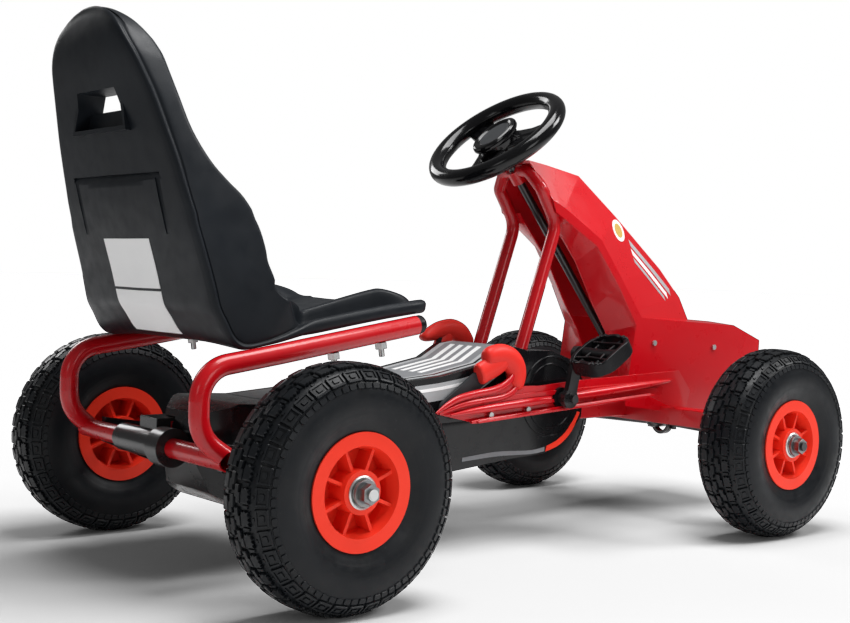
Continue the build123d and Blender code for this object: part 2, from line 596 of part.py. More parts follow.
def make_crank_shaft():
    """Shaft through both side rails with two arms and the pedals' pins."""
    crank = cylinder((CRANK_X, -127, CRANK_Z), (CRANK_X, 127, CRANK_Z), AXLE_R)
    for side in (-1, 1):
        x, z = arm_end(side)
        y0 = min(side * 118, side * 126)
        arm = slab([(CRANK_X - 9, CRANK_Z), (CRANK_X + 9, CRANK_Z), (x + 8, z), (x - 8, z)], y0, y0 + 8)
        arm += cylinder((CRANK_X, y0, CRANK_Z), (CRANK_X, y0 + 8, CRANK_Z), 13.0)
        arm += cylinder((x, y0, z), (x, y0 + 8, z), 10.0)
        crank += arm + cylinder((x, side * 120, z), (x, side * (PEDAL_Y1 - 3), z), 5.0)
        crank += cylinder((CRANK_X, side * 126, CRANK_Z), (CRANK_X, side * 134, CRANK_Z), 6.0)
    return crank


def make_pedal(side):
    """Platform pedal: hub tube, two cross bars, end plates and tread bars."""
    length = PEDAL_LENGTH
    height = 22.0
    inner = PEDAL_Y0
    outer = PEDAL_Y1
    frame = block(-length / 2, length / 2, inner, outer, -height / 2, height / 2)
    frame = fillet(frame.edges().filter_by(Axis.Y), 10.0)
    pocket = fillet(block(-length / 2 + 5, length / 2 - 5, inner + 5, outer - 5, -40, 40).edges().filter_by(Axis.Z), 6)
    body = frame - pocket
    body += cylinder((0, inner, 0), (0, outer, 0), 10.0)
    body += block(-length / 2 + 3, length / 2 - 3, 161, 169, -5, 5)
    body -= cylinder((0, 0, 0), (0, 300, 0), 5.0 + RUNNING_GAP)
    x, z = arm_end(side)
    pedal = Pos(x, 0, z) * (Rot(0, -32, 0) * body)
    return pedal if side > 0 else mirror_y(pedal)


# Levers and brake --------------------------------------------------------------------------------------

BRAKE_PIVOT = (-95.0, 183.0)
GEAR_PIVOT = (5.0, 183.0)
PIVOT_R = 5.0
BRAKE_Y = 36.0
DRUM_R = 28.0


def lever_plate(pivot, tip, half_width, y0, y1):
    """Flat lever from its pivot's hole to its tip."""
    along = Vector(tip[0] - pivot[0], 0, tip[1] - pivot[1]).normalized()
    across = Vector(-along.Z, 0, along.X) * half_width
    outline = [(pivot[0] + across.X, pivot[1] + across.Z), (pivot[0] - across.X, pivot[1] - across.Z)]
    outline += [(tip[0] - across.X, tip[1] - across.Z), (tip[0] + across.X, tip[1] + across.Z)]
    plate = slab(outline, y0, y1) + cylinder((pivot[0], y0, pivot[1]), (pivot[0], y1, pivot[1]), half_width)
    return plate - cylinder((pivot[0], y0 - 1, pivot[1]), (pivot[0], y1 + 1, pivot[1]), PIVOT_R + RUNNING_GAP)


def make_brake_lever():
    """Right hand lever, of flat bar."""
    return lever_plate(BRAKE_PIVOT, (-10, 240), 11.0, -98.5, -93.5)


def make_brake_grip():
    """Crescent grip on the right lever."""
    outline = [(-46, 231), (-30, 246), (-5, 254), (25, 250), (48, 234), (56, 214), (42, 211), (28, 224)]
    outline += [(8, 234), (2, 214), (-20, 214), (-22, 234)]
    return slab(outline, -112, -91) - make_brake_lever()


def make_gear_lever():
    """Left hand lever, of flat bar."""
    return lever_plate(GEAR_PIVOT, (34, 266), 10.0, 60, 65)


def make_gear_grip():
    """Crescent grip on the left lever."""
    outline = [(-4, 258), (10, 276), (40, 289), (75, 291), (102, 279), (107, 263), (85, 263), (60, 269)]
    outline += [(50, 248), (24, 248)]
    return slab(outline, 56, 78) - make_gear_lever()


def make_brake_bracket():
    """Bar on the main beam that guides the brake shoe over the drum."""
    riser = block(REAR_X - 12, REAR_X + 12, 8, BEAM_Y1, BEAM_Z1, 186)
    bar = block(REAR_X - 12, REAR_X + 12, 8, BRAKE_Y + 8, 186, 190)
    return riser + bar - cylinder((REAR_X, BRAKE_Y, 180), (REAR_X, BRAKE_Y, 200), 4.0 + RUNNING_GAP)


def make_brake_shoe():
    """Friction pad with its guide pin, 3 mm above the drum."""
    drum_top = AXLE_Z + DRUM_R
    pad = block(REAR_X - 14, REAR_X + 14, BRAKE_Y - 6, BRAKE_Y + 6, drum_top - 5, drum_top + 11)
    pad -= cylinder((REAR_X, BRAKE_Y - 20, AXLE_Z), (REAR_X, BRAKE_Y + 20, AXLE_Z), DRUM_R + 3.5)
    return pad + cylinder((REAR_X, BRAKE_Y, drum_top + 10), (REAR_X, BRAKE_Y, 194), 4.0)


# Fasteners ---------------------------------------------------------------------------------------------

def make_bolts():
    """Seat bolts under the rails, rail cap nuts, fairing screws and the levers' pivot bolts."""
    solids = []
    for side in (-1, 1):
        for along in (54.0, 121.0):
            centre = Vector(RAIL_FRONT[0], side * RAIL_Y, RAIL_FRONT[1]) - RAIL_ALONG * along
            below = [centre + RAIL_DOWN * (SEAT_TUBE_R + depth) for depth in (0.05, 7.0, 16.0)]
            solids.append(hex_bar(tuple(below[0]), tuple(below[1]), 12.0))
            solids.append(cylinder(tuple(below[1]), tuple(below[2]), 3.0))
        web = side * (SIDE_RAIL_Y + SHEET)
        for x, z in ((-30, 172.6), (36, 176.6)):
            solids.append(cylinder((x, web, z), (x, web + side * 5, z), 3.8))
        for x, z in ((320, 259), (442, 252)):
            skin = side * (side_half_width(x) + 0.4)
            solids.append(cylinder((x, skin, z), (x, skin + side * 2.5, z), 4.0))
    x, z = BRAKE_PIVOT
    solids.append(cylinder((x, -SIDE_RAIL_Y, z), (x, -90, z), PIVOT_R))
    x, z = GEAR_PIVOT
    solids.append(cylinder((x, 57, z), (x, SIDE_RAIL_Y, z), PIVOT_R))
    return solids


def make_rail_plug(side):
    """Plastic plug in the front end of a seat rail."""
    start = Vector(RAIL_FRONT[0], side * RAIL_Y, RAIL_FRONT[1]) + RAIL_ALONG * 0.1
    head = cylinder(tuple(start), tuple(start + RAIL_ALONG * 10), SEAT_TUBE_R - 0.3)
    head = fillet(head.edges().sort_by(Axis.X)[-1], 5.0)
    return head + cylinder(tuple(start - RAIL_ALONG * 14), tuple(start), SEAT_TUBE_R - TUBE_WALL - 0.1)


def make_drum():
    """Brake drum on the rear axle."""
    y0 = BRAKE_Y - 7
    drum = ring((REAR_X, y0, AXLE_Z), (REAR_X, y0 + 14, AXLE_Z), DRUM_R, DRUM_R - 4)
    plate = ring((REAR_X, y0, AXLE_Z), (REAR_X, y0 + 4, AXLE_Z), DRUM_R - 2, AXLE_R)
    return drum + plate + ring((REAR_X, y0, AXLE_Z), (REAR_X, y0 + 12, AXLE_Z), 14.0, AXLE_R)


def build_nodes():
    """Every node's name and its solids."""
    guard_upper, guard_lower = make_guard()
    right_rail = make_side_rail()
    seat_rail = make_seat_rail()
    bush = make_crank_bush()
    bracket = make_axle_bracket()
    fork = make_kingpin_bracket()
    rear_shaft = axle_end(REAR_X, -1, REAR_TRACK, 0) + axle_end(REAR_X, 1, REAR_TRACK, 0)
    nodes = {
        "main_beam": [make_main_beam()],
        "rear_cross_tube": [make_cross_tube()],
        "cross_tube_clamp": [make_clamp()],
        "seat_rail_right": [seat_rail],
        "seat_rail_left": [mirror_y(seat_rail)],
        "axle_brackets": [bracket, mirror_y(bracket)],
        "side_rail_right": [right_rail],
        "side_rail_left": [mirror_y(right_rail)],
        "crank_bushes": [bush, mirror_y(bush)],
        "hoop_foot_bar": [make_hoop_foot()],
        "steering_hoop": [make_hoop()],
        "column_lower_bracket": [make_column_bracket()],
        "front_axle_beam": [make_front_beam()],
        "kingpin_brackets": fork + [mirror_y(piece) for piece in fork],
        "nose_fairing": [make_fairing()],
        "chain_guard_upper": [guard_upper],
        "chain_guard_lower": [guard_lower],
        "seat_shell": [make_seat()],
        "frame_bolts": make_bolts(),
        "rail_plugs": [make_rail_plug(-1), make_rail_plug(1)],
        "chain": [make_chain()],
        "brake_shoe_bracket": [make_brake_bracket()],
        "brake_shoe": [make_brake_shoe()],
        "brake_lever": [make_brake_lever()],
        "brake_grip": [make_brake_grip()],
        "gear_lever": [make_gear_lever()],
        "gear_grip": [make_gear_grip()],
        "steering_column": [make_column()],
        "steering_wheel": [make_steering_wheel()],
        "steering_cap": [make_steering_cap()],
        "rear_axle_shaft": [rear_shaft],
        "rear_axle_nuts": axle_nut(REAR_X, -1, REAR_TRACK) + axle_nut(REAR_X, 1, REAR_TRACK),
        "rear_sprocket": [make_sprocket(SPROCKET_TEETH, REAR_X, AXLE_Z, 14.0, 0.0)],
        "brake_drum": [make_drum()],
        "crank_shaft": [make_crank_shaft()],
        "chainring": [make_sprocket(CHAINRING_TEETH, CRANK_X, CRANK_Z, 14.0, 0.0)],
    }
    for word, side in (("right", -1), ("left", 1)):
        nodes[f"knuckle_{word}"] = [make_knuckle(side)]
        nodes[f"axle_nut_front_{word}"] = axle_nut(FRONT_X, side, FRONT_TRACK)
        nodes[f"tie_rod_{word}"] = [make_tie_rod(side)]
        nodes[f"pedal_{word}"] = [make_pedal(side)]
        nodes.update(wheel_nodes(f"front_{word}", FRONT_X, side, FRONT_TRACK))
        nodes.update(wheel_nodes(f"rear_{word}", REAR_X, side, REAR_TRACK))
    return nodes


def write_nodes():
    """Write one STEP file for each node."""
    os.makedirs("parts", exist_ok=True)
    for name, shapes in build_nodes().items():
        solids = [solid for shape in shapes for solid in shape.solids()]
        export_step(Compound(children=solids), f"parts/{name}.step")


write_nodes()
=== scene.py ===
"""Looks of the pedal go-kart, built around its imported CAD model. Metres, in the CAD model's own frame."""
import json
from math import cos, pi, radians, sin, sqrt

import bpy
import bmesh
from mathutils import Matrix, Vector
from mathutils.bvhtree import BVHTree


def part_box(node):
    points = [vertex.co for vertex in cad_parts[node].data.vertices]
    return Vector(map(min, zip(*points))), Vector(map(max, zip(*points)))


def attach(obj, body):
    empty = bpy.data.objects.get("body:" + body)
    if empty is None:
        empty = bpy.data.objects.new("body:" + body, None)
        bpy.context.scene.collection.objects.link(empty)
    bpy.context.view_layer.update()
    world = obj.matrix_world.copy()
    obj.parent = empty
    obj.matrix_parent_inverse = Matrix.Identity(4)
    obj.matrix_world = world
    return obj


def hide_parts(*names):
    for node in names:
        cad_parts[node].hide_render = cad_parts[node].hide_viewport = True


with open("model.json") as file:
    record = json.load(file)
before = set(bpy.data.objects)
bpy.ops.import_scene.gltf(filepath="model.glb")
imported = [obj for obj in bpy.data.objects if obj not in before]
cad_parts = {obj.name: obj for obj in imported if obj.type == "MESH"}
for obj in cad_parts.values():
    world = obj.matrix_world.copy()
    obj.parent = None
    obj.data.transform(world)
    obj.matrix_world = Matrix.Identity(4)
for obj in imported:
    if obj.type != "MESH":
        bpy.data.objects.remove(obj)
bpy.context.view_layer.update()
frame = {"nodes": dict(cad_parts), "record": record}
NODES = frame["nodes"]
MM = 0.001
SCENE = bpy.context.scene

WHEEL_BODY = {"front_right": "wheel_front_right", "front_left": "wheel_front_left",
              "rear_right": "rear_axle", "rear_left": "wheel_rear_left"}
BODY_OF = {node: body for body, nodes in frame["record"]["behaviour"]["bodies"].items() for node in nodes}
SLOT_OF = {row["node"]: row["material_slot"] for row in frame["record"]["subparts"]}

CAMERA_PLACE = Vector((-1.17128, -1.34343, 0.35457))
CAMERA_TURN = (50.28, -1.76, 1.69)      # yaw, pitch and roll, in degrees
CAMERA_LENS = 55.65
FLOOR_REACH = 30
WORLD_LIGHT = 0.16
LIGHT_TARGET = Vector((0, 0, 0.3))
LIGHTS = {                              # place, side in metres, power in watts
    "top_light": ((0.1, -0.5, 2.6), 1.5, 74),
    "right_light": ((2, -1.5, 2.2), 1, 46),
    "side_light": ((-0.2, -3, 1.1), 1, 9),
    "rear_light": ((-2.6, -1.2, 1), 0.7, 2.5),
    "left_light": ((-0.2, 2.8, 1.6), 1.2, 24),
}


# --- Camera, lights, floor ---

def added(name, data):
    """New object in the scene."""
    thing = bpy.data.objects.new(name, data)
    SCENE.collection.objects.link(thing)
    return thing


def make_camera():
    """Camera behind the kart's right rear wheel, a little above the seat rails."""
    yaw, pitch, roll = (radians(a) for a in CAMERA_TURN)
    forward = Vector((cos(yaw) * cos(pitch), sin(yaw) * cos(pitch), sin(pitch)))
    right = forward.cross(Vector((0, 0, 1))).normalized()
    up = right.cross(forward)
    turned_right = right * cos(roll) + up * sin(roll)
    turned_up = up * cos(roll) - right * sin(roll)
    data = bpy.data.cameras.new("camera")
    data.sensor_width = 36
    data.lens = CAMERA_LENS
    camera = added("camera", data)
    axes = Matrix((turned_right, turned_up, -forward)).transposed().to_4x4()
    camera.matrix_world = Matrix.Translation(CAMERA_PLACE) @ axes
    SCENE.camera = camera


def area_light(name, place, size, power):
    """Soft square light that faces the kart."""
    data = bpy.data.lights.new(name, "AREA")
    data.size = size
    data.energy = power
    light = added(name, data)
    light.location = place
    light.rotation_mode = "QUATERNION"
    light.rotation_quaternion = (LIGHT_TARGET - Vector(place)).to_track_quat("-Z", "Y")


def make_floor():
    """Plain pale floor that shows the kart's shadows."""
    mesh = bpy.data.meshes.new("floor")
    r = FLOOR_REACH
    mesh.from_pydata([(-r, -r, 0), (r, -r, 0), (r, r, 0), (-r, r, 0)], [], [(0, 1, 2, 3)])
    floor = added("floor", mesh)
    paint = bpy.data.materials.new("floor_white")
    paint.use_nodes = True
    shader = paint.node_tree.nodes["Principled BSDF"]
    shader.inputs["Base Color"].default_value = (0.9, 0.9, 0.9, 1)
    shader.inputs["Roughness"].default_value = 0.9
    mesh.materials.append(paint)
    floor.is_shadow_catcher = True


def make_world():
    """White background for the camera, and a dim grey surround that lights the kart."""
    world = bpy.data.worlds.new("studio")
    world.use_nodes = True
    nodes = world.node_tree.nodes
    link = world.node_tree.links.new
    surround = nodes["Background"]
    backdrop = nodes.new("ShaderNodeBackground")
    for background, strength in ((surround, WORLD_LIGHT), (backdrop, 1)):
        background.inputs["Color"].default_value = (1, 1, 1, 1)
        background.inputs["Strength"].default_value = strength
    choose = nodes.new("ShaderNodeMixShader")
    link(nodes.new("ShaderNodeLightPath").outputs["Is Camera Ray"], choose.inputs["Fac"])
    link(surround.outputs["Background"], choose.inputs[1])
    link(backdrop.outputs["Background"], choose.inputs[2])
    link(choose.outputs["Shader"], nodes["World Output"].inputs["Surface"])
    SCENE.world = world


def make_stage():
    """Floor, world and soft studio lights."""
    make_floor()
    make_world()
    for name, (place, size, power) in LIGHTS.items():
        area_light(name, place, size, power)
    SCENE.view_settings.view_transform = "Standard"
    SCENE.view_settings.look = "None"


# --- Materials ---

class Paint:
    """A Principled material with procedural detail."""

    def __init__(self, name, colour, rough, metal=0, coat=0, coat_rough=0.05, specular=0.5):
        self.material = bpy.data.materials.new(name)
        self.material.use_nodes = True
        self.tree = self.material.node_tree
        self.shader = self.tree.nodes["Principled BSDF"]
        for socket, value in (("Base Color", (*colour, 1)), ("Roughness", rough), ("Metallic", metal),
                              ("Coat Weight", coat), ("Coat Roughness", coat_rough),
                              ("Specular IOR Level", specular)):
            self.shader.inputs[socket].default_value = value
        self.rough = rough
        self.place = self.node("TexCoord").outputs["Object"]

    def node(self, kind, **values):
        """New shader node with these values in its sockets."""
        node = self.tree.nodes.new("ShaderNode" + kind)
        for socket, value in values.items():
            node.inputs[socket].default_value = value
        return node

    def link(self, source, target):
        self.tree.links.new(source, target)

    def noise(self, scale, detail=2, stretch=(1, 1, 1), rough=0.5):
        """Noise over the object's own coordinates, scale in features a metre."""
        mapping = self.node("Mapping", Scale=stretch)
        self.link(self.place, mapping.inputs["Vector"])
        node = self.node("TexNoise", Scale=scale, Detail=detail, Roughness=rough)
        self.link(mapping.outputs["Vector"], node.inputs["Vector"])
        return node.outputs["Fac"]

    def spread(self, source, low, high, out_low, out_high):
        """Stretch a value from low..high to out_low..out_high."""
        ends = {"From Min": low, "From Max": high, "To Min": out_low, "To Max": out_high}
        node = self.node("MapRange", **ends)
        self.link(source, node.inputs["Value"])
        return node.outputs["Result"]

    def blend_colour(self, amount, other):
        """Mix the colour so far with another by amount."""
        node = self.node("Mix")
        node.data_type = "RGBA"
        self.link(amount, node.inputs["Factor"])
        target = self.shader.inputs["Base Color"]
        if target.is_linked:
            self.link(target.links[0].from_socket, node.inputs["A"])
        else:
            node.inputs["A"].default_value = target.default_value
        node.inputs["B"].default_value = (*other, 1)
        self.link(node.outputs["Result"], target)
        return self

    def vary_rough(self, source, amount):
        """Roughness that wanders by plus or minus amount."""
        low = max(self.rough - amount, 0.02)
        self.link(self.spread(source, 0.3, 0.7, low, self.rough + amount), self.shader.inputs["Roughness"])
        return self

    def bump(self, source, depth, strength=0.5):
        """Relief of this depth in metres, on top of any relief before it."""
        node = self.node("Bump", Distance=depth, Strength=strength)
        self.link(source, node.inputs["Height"])
        normal = self.shader.inputs["Normal"]
        if normal.is_linked:
            self.link(normal.links[0].from_socket, node.inputs["Normal"])
        self.link(node.outputs["Normal"], normal)
        return self


def gloss_paint(name, colour, dust=0.12):
    """Powder-coated steel: faint orange peel and dull handling marks."""
    paint = Paint(name, colour, 0.3, coat=0.4, coat_rough=0.08, specular=0.3)
    darker = tuple(c * 0.72 for c in colour)
    paint.blend_colour(paint.spread(paint.noise(7, 3), 0.35, 0.75, 0, dust * 2), darker)
    paint.vary_rough(paint.noise(45, 4), 0.04)
    return paint.bump(paint.noise(420, 2), 0.00005, 0.2)


def moulded(name, colour, rough, grain=1500, depth=0.00012, coat=0, wear=(0.05, 0.05, 0.055)):
    """Injection-moulded plastic: fine spark-eroded grain and faint cloudy patches."""
    paint = Paint(name, colour, rough, coat=coat, coat_rough=0.12, specular=0.16)
    paint.blend_colour(paint.spread(paint.noise(11, 4), 0.42, 0.85, 0, 0.4), wear)
    paint.vary_rough(paint.noise(60, 5), 0.07)
    paint.bump(paint.noise(grain, 3), depth, 0.5)
    return paint.bump(paint.noise(90, 2), 0.0002, 0.12)


def plated(name, colour, rough):
    """Zinc-plated steel: cloudy passivation and fine turning marks."""
    paint = Paint(name, colour, rough, metal=1)
    paint.blend_colour(paint.spread(paint.noise(120, 4), 0.45, 0.85, 0, 0.35), (0.5, 0.47, 0.38))
    paint.vary_rough(paint.noise(300, 3), 0.06)
    return paint.bump(paint.noise(700, 2, stretch=(1, 6, 1)), 0.00002, 0.2)


def rubber(name):
    """Tyre rubber: bluish black with grey-brown dust, and a fine vulcanised grain."""
    paint = Paint(name, (0.006, 0.0072, 0.009), 0.40, specular=0.2)
    dust = paint.noise(26, 5, rough=0.6)
    paint.blend_colour(paint.spread(dust, 0.5, 0.85, 0, 0.45), (0.024, 0.023, 0.021))
    paint.blend_colour(paint.spread(paint.noise(320, 4), 0.62, 0.85, 0, 0.4), (0.04, 0.039, 0.036))
    paint.vary_rough(paint.noise(80, 4), 0.1)
    paint.bump(paint.noise(900, 3), 0.00016, 0.45)
    return paint.bump(paint.noise(140, 2), 0.0003, 0.16)


def printed(name, colour, wear, rough=0.4):
    """Printed film or paper: hardly any grain, slightly uneven ink."""
    return moulded(name, colour, rough, 500, 0.00002, wear=wear)


# One paint for each material slot.
PAINTS = {
    "frame_red": gloss_paint("red_powder_coat", (0.53, 0.002, 0.007)),
    "fairing_red": gloss_paint("red_sheet_paint", (0.58, 0.002, 0.008), 0.1),
    "black_steel": gloss_paint("black_powder_coat", (0.012, 0.012, 0.013)),
    "grey_steel": moulded("grey_lever_paint", (0.035, 0.037, 0.04), 0.5, depth=0.00008,
                          wear=(0.05, 0.05, 0.054)),
    # Seat plastic: its base and patch colours are lifted towards blue-grey, a painted sheen that stands for
    # studio light reflected off the black plastic.
    "seat_black": moulded("seat_plastic_painted_sheen", (0.0085, 0.0105, 0.0135), 0.40, wear=(0.018, 0.022, 0.028)),
    "guard_black": moulded("guard_plastic", (0.005, 0.005, 0.006), 0.24, 900, 0.00005, 0.3,
                           (0.012, 0.012, 0.013)),
    "gloss_black": moulded("wheel_plastic", (0.003, 0.003, 0.0035), 0.14, 700, 0.00003, 0.35,
                           (0.008, 0.008, 0.009)),
    "black_plastic": moulded("pedal_plastic", (0.006, 0.006, 0.007), 0.3, 900, wear=(0.012, 0.012, 0.013)),
    "grip_red": moulded("grip_plastic", (0.72, 0.03, 0.022), 0.38, 800, wear=(0.8, 0.08, 0.06)),
    "zinc": plated("zinc_plate", (0.58, 0.59, 0.59), 0.36),
    "chain_steel": plated("oiled_steel", (0.16, 0.155, 0.15), 0.4),
    "friction": moulded("friction_lining", (0.05, 0.045, 0.04), 0.85),
    "rim_red": moulded("rim_plastic", (0.86, 0.040, 0.018), 0.36, 700, 0.00006, wear=(0.86, 0.06, 0.03)),
    "tyre": rubber("tyre_rubber"),
    "tube_rubber": rubber("valve_rubber"),
}
# Paints of details that have no slot.
EXTRA_PAINTS = {
    "label_white": printed("label_paper", (0.93, 0.93, 0.93), (0.82, 0.82, 0.83), 0.55),
    "print_white": printed("white_print", (0.82, 0.82, 0.82), (0.72, 0.72, 0.73)),
    "print_silver": printed("silver_print", (0.40, 0.41, 0.42), (0.32, 0.33, 0.35), 0.35),
    "print_grey": printed("grey_print", (0.20, 0.205, 0.215), (0.16, 0.165, 0.18)),
    "print_gold": printed("gold_print", (0.55, 0.36, 0.10), (0.42, 0.27, 0.08)),
    "nut_steel": plated("dark_nut_steel", (0.22, 0.225, 0.235), 0.34),
}


def dress_nodes():
    """Give every CAD node the paint of its material slot."""
    for node, slot in SLOT_OF.items():
        mesh = NODES[node].data
        mesh.materials.clear()
        mesh.materials.append(PAINTS[slot].material)


# --- Mesh helpers ---

def raw_mesh(name, verts, faces):
    """Mesh in metres from points in millimetres."""
    mesh = bpy.data.meshes.new(name)
    mesh.from_pydata([Vector(v) * MM for v in verts], [], faces)
    return mesh


def cleaned(mesh, smooth=40, merge=0.00002):
    """Merge close points, turn faces outwards, and shade smooth where they meet gently."""
    work = bmesh.new()
    work.from_mesh(mesh)
    bmesh.ops.remove_doubles(work, verts=work.verts, dist=merge)
    bmesh.ops.recalc_face_normals(work, faces=work.faces)
    for face in work.faces:
        face.smooth = True
    for edge in work.edges:
        edge.smooth = len(edge.link_faces) != 2 or edge.calc_face_angle(0) < radians(smooth)
    work.to_mesh(mesh)
    work.free()
    return mesh


def finish_piece(name, mesh, paint, body, smooth=40, stands_for=None):
    """Cleaned and painted piece that rides on its body and may stand for a CAD node."""
    cleaned(mesh, smooth)
    mesh.materials.clear()
    mesh.materials.append((PAINTS if paint in PAINTS else EXTRA_PAINTS)[paint].material)
    piece = added(name, mesh)
    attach(piece, body)
    if stands_for:
        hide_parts(stands_for)
    return piece


def new_piece(name, verts, faces, paint, body="chassis", smooth=40, stands_for=None):
    """Piece from points in millimetres."""
    return finish_piece(name, raw_mesh(name, verts, faces), paint, body, smooth, stands_for)


def add_bevel(piece, width, segments=2, angle=35, harden=False):
    """Round the sharp edges of a piece by width in millimetres."""
    bevel = piece.modifiers.new("rounding", "BEVEL")
    bevel.width = width * MM
    bevel.segments = segments
    bevel.limit_method = "ANGLE"
    bevel.angle_limit = radians(angle)
    bevel.harden_normals = harden


def grid_faces(rows, columns, wrap_rows=False, wrap_columns=False):
    """Quads of a grid of vertices stored row by row."""
    faces = []
    for row in range(rows if wrap_rows else rows - 1):
        below = (row + 1) % rows
        for column in range(columns if wrap_columns else columns - 1):
            beside = (column + 1) % columns
            corners = (row * columns + column, row * columns + beside)
            faces.append(corners + (below * columns + beside, below * columns + column))
    return faces


def closed_tube(rings, sides):
    """Faces of a tube stored ring by ring, with both ends capped."""
    count = rings * sides
    caps = [tuple(range(sides)), tuple(range(count - sides, count))]
    return grid_faces(rings, sides, wrap_columns=True) + caps


def slab(name, rows, columns, front, back, paint):
    """Thin piece of the chassis between two grids of points, walled round its edge."""
    count = rows * columns
    faces = grid_faces(rows, columns)
    faces += [tuple(count + i for i in face) for face in faces]
    edge = list(range(columns)) + [columns * r - 1 for r in range(2, rows + 1)]
    edge += [count - columns + i for i in range(columns - 2, -1, -1)]
    edge += [columns * r for r in range(rows - 2, 0, -1)]
    faces += [(a, b, count + b, count + a) for a, b in zip(edge, edge[1:] + edge[:1])]
    new_piece(name, front + back, faces, paint, smooth=30)


def turned_faces(steps, count):
    """Faces of a closed section of count points turned in steps."""
    return grid_faces(steps, count, wrap_rows=True, wrap_columns=True)


def turns(count):
    """Angles of count equal steps round a full turn."""
    return [2 * pi * step / count for step in range(count)]


def share_of(value):
    """Value held between 0 and 1."""
    return max(0, min(1, value))


def heading(points, i):
    """Direction of a line of points at its point i."""
    return (points[min(i + 1, len(points) - 1)] - points[max(i - 1, 0)]).normalized()


def smooth_line(points, steps):
    """Catmull-Rom curve through the points, with steps pieces to each span."""
    points = [Vector(p) for p in points]
    line = []
    for i, (a, b) in enumerate(zip(points, points[1:])):
        before = points[max(i - 1, 0)]
        after = points[min(i + 2, len(points) - 1)]
        for step in range(steps):
            t = step / steps
            line.append(0.5 * (2 * a + (b - before) * t + (2 * before - 5 * a + 4 * b - after) * t * t
                               + (3 * a - before - 3 * b + after) * t ** 3))
    line.append(points[-1])
    return line


def sized_line(points, y, steps):
    """Points and sizes of a smooth line through (x, z, size) at a distance y across."""
    line = smooth_line([(x, y, z, size) for x, z, size in points], steps)
    return [p.to_3d() for p in line], [p.w for p in line]


def middle_of(node):
    """Centre of a CAD node's box, in millimetres."""
    low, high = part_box(node)
    return (low + high) / 2 / MM


# --- Tyres ---

TREAD_PITCHES = 36
PITCH_LENGTH = 22                     # about, along the crown
TYRE_STEPS = 180
TYRE_TURN = 0.37                        # radians from one tyre to the next
SECTION_STEPS = 46
# Half section at the groove level, as (across, radius) about the wheel's middle.
TREAD_BASE = [(0, 126.6), (12, 126.2), (22, 124), (30.5, 119), (36.8, 111.6), (39.8, 103), (40.9, 94.5)]
SIDEWALL = [(40.6, 86), (38.8, 78), (36, 70.5), (33.6, 65), (32.6, 61.8), (31, 60)]


class TyreSkin:
    """The tyre's groove-level surface, with v the distance across it from the crown."""

    def __init__(self):
        half = smooth_line([(y, r, 0) for y, r in TREAD_BASE + SIDEWALL], 6)
        self.line = [Vector((p.x, p.y)) for p in half]
        self.reach = [0]
        for a, b in zip(self.line, self.line[1:]):
            self.reach.append(self.reach[-1] + (b - a).length)

    def section(self, v):
        """Point and outward normal of the half section at distance |v| from the crown."""
        distance = min(abs(v), self.reach[-1] - 1e-6)
        i = next(k for k in range(len(self.reach) - 1) if self.reach[k + 1] >= distance)
        t = (distance - self.reach[i]) / (self.reach[i + 1] - self.reach[i])
        point = self.line[i].lerp(self.line[i + 1], t)
        along = (self.line[min(i + 2, len(self.line) - 1)] - self.line[max(i - 1, 0)]).normalized()
        return point, Vector((-along.y, along.x))

    def place(self, v, turn, height):
        """Point of the tyre at this height above the groove level."""
        point, normal = self.section(v)
        point = point + normal * height
        return (point.y * cos(turn), point.x if v >= 0 else -point.x, point.y * sin(turn))


def tread_block(skin, verts, faces, outline, start, mirror, height, step):
    """One raised block: skirt, rounded rim and top over an outline."""
    first = len(verts)
    count = len(outline)
    centre_u = sum(u for u, v in outline) / count
    centre_v = sum(v for u, v in outline) / count
    rings = ((1.06, -0.6), (1, height - 0.7), (0.9, height))
    for grow, lift in rings:
        for u, v in outline:
            turn = start + (centre_u + (u - centre_u) * grow) * step
            across = centre_v + (v - centre_v) * grow
            verts.append(skin.place(across * mirror, turn, lift))
    skirt = grid_faces(len(rings), count, wrap_columns=True)
    top = tuple(range((len(rings) - 1) * count, len(rings) * count))
    faces.extend(tuple(first + i for i in face) for face in skirt + [top])


def pad_outline(u0, u1, v0, v1, cut):
    """Rectangle with its corners cut, in pitch fractions and millimetres."""
    share = cut / PITCH_LENGTH
    return [(u0 + share, v0), (u1 - share, v0), (u1, v0 + cut), (u1, v1 - cut), (u1 - share, v1),
            (u0 + share, v1), (u0, v1 - cut), (u0, v0 + cut)]


# Blocks of one pitch of one side, in pitch fractions and distances across, and the blocks' heights.
CENTRE_BLOCK = [(0.06, 1), (0.62, 1), (0.62, 3.6), (0.86, 3.6), (0.86, 9.6), (0.40, 9.6), (0.40, 7),
                (0.06, 7)]
TOOTHED_BLOCK = [(0.16, 12.4), (0.36, 11.2), (0.84, 11.2), (0.84, 21.4), (0.72, 20), (0.62, 21.6),
                 (0.52, 20), (0.42, 21.6), (0.32, 20), (0.16, 21.4), (0.22, 18.4), (0.14, 16.4),
                 (0.22, 14.6)]
WEDGE = [(-0.08, 11.6), (0.08, 12.6), (0.07, 19.5), (-0.07, 19.5)]
BRIDGE = [(0.46, 24), (0.60, 23.2), (0.60, 26.4), (0.46, 26.4)]
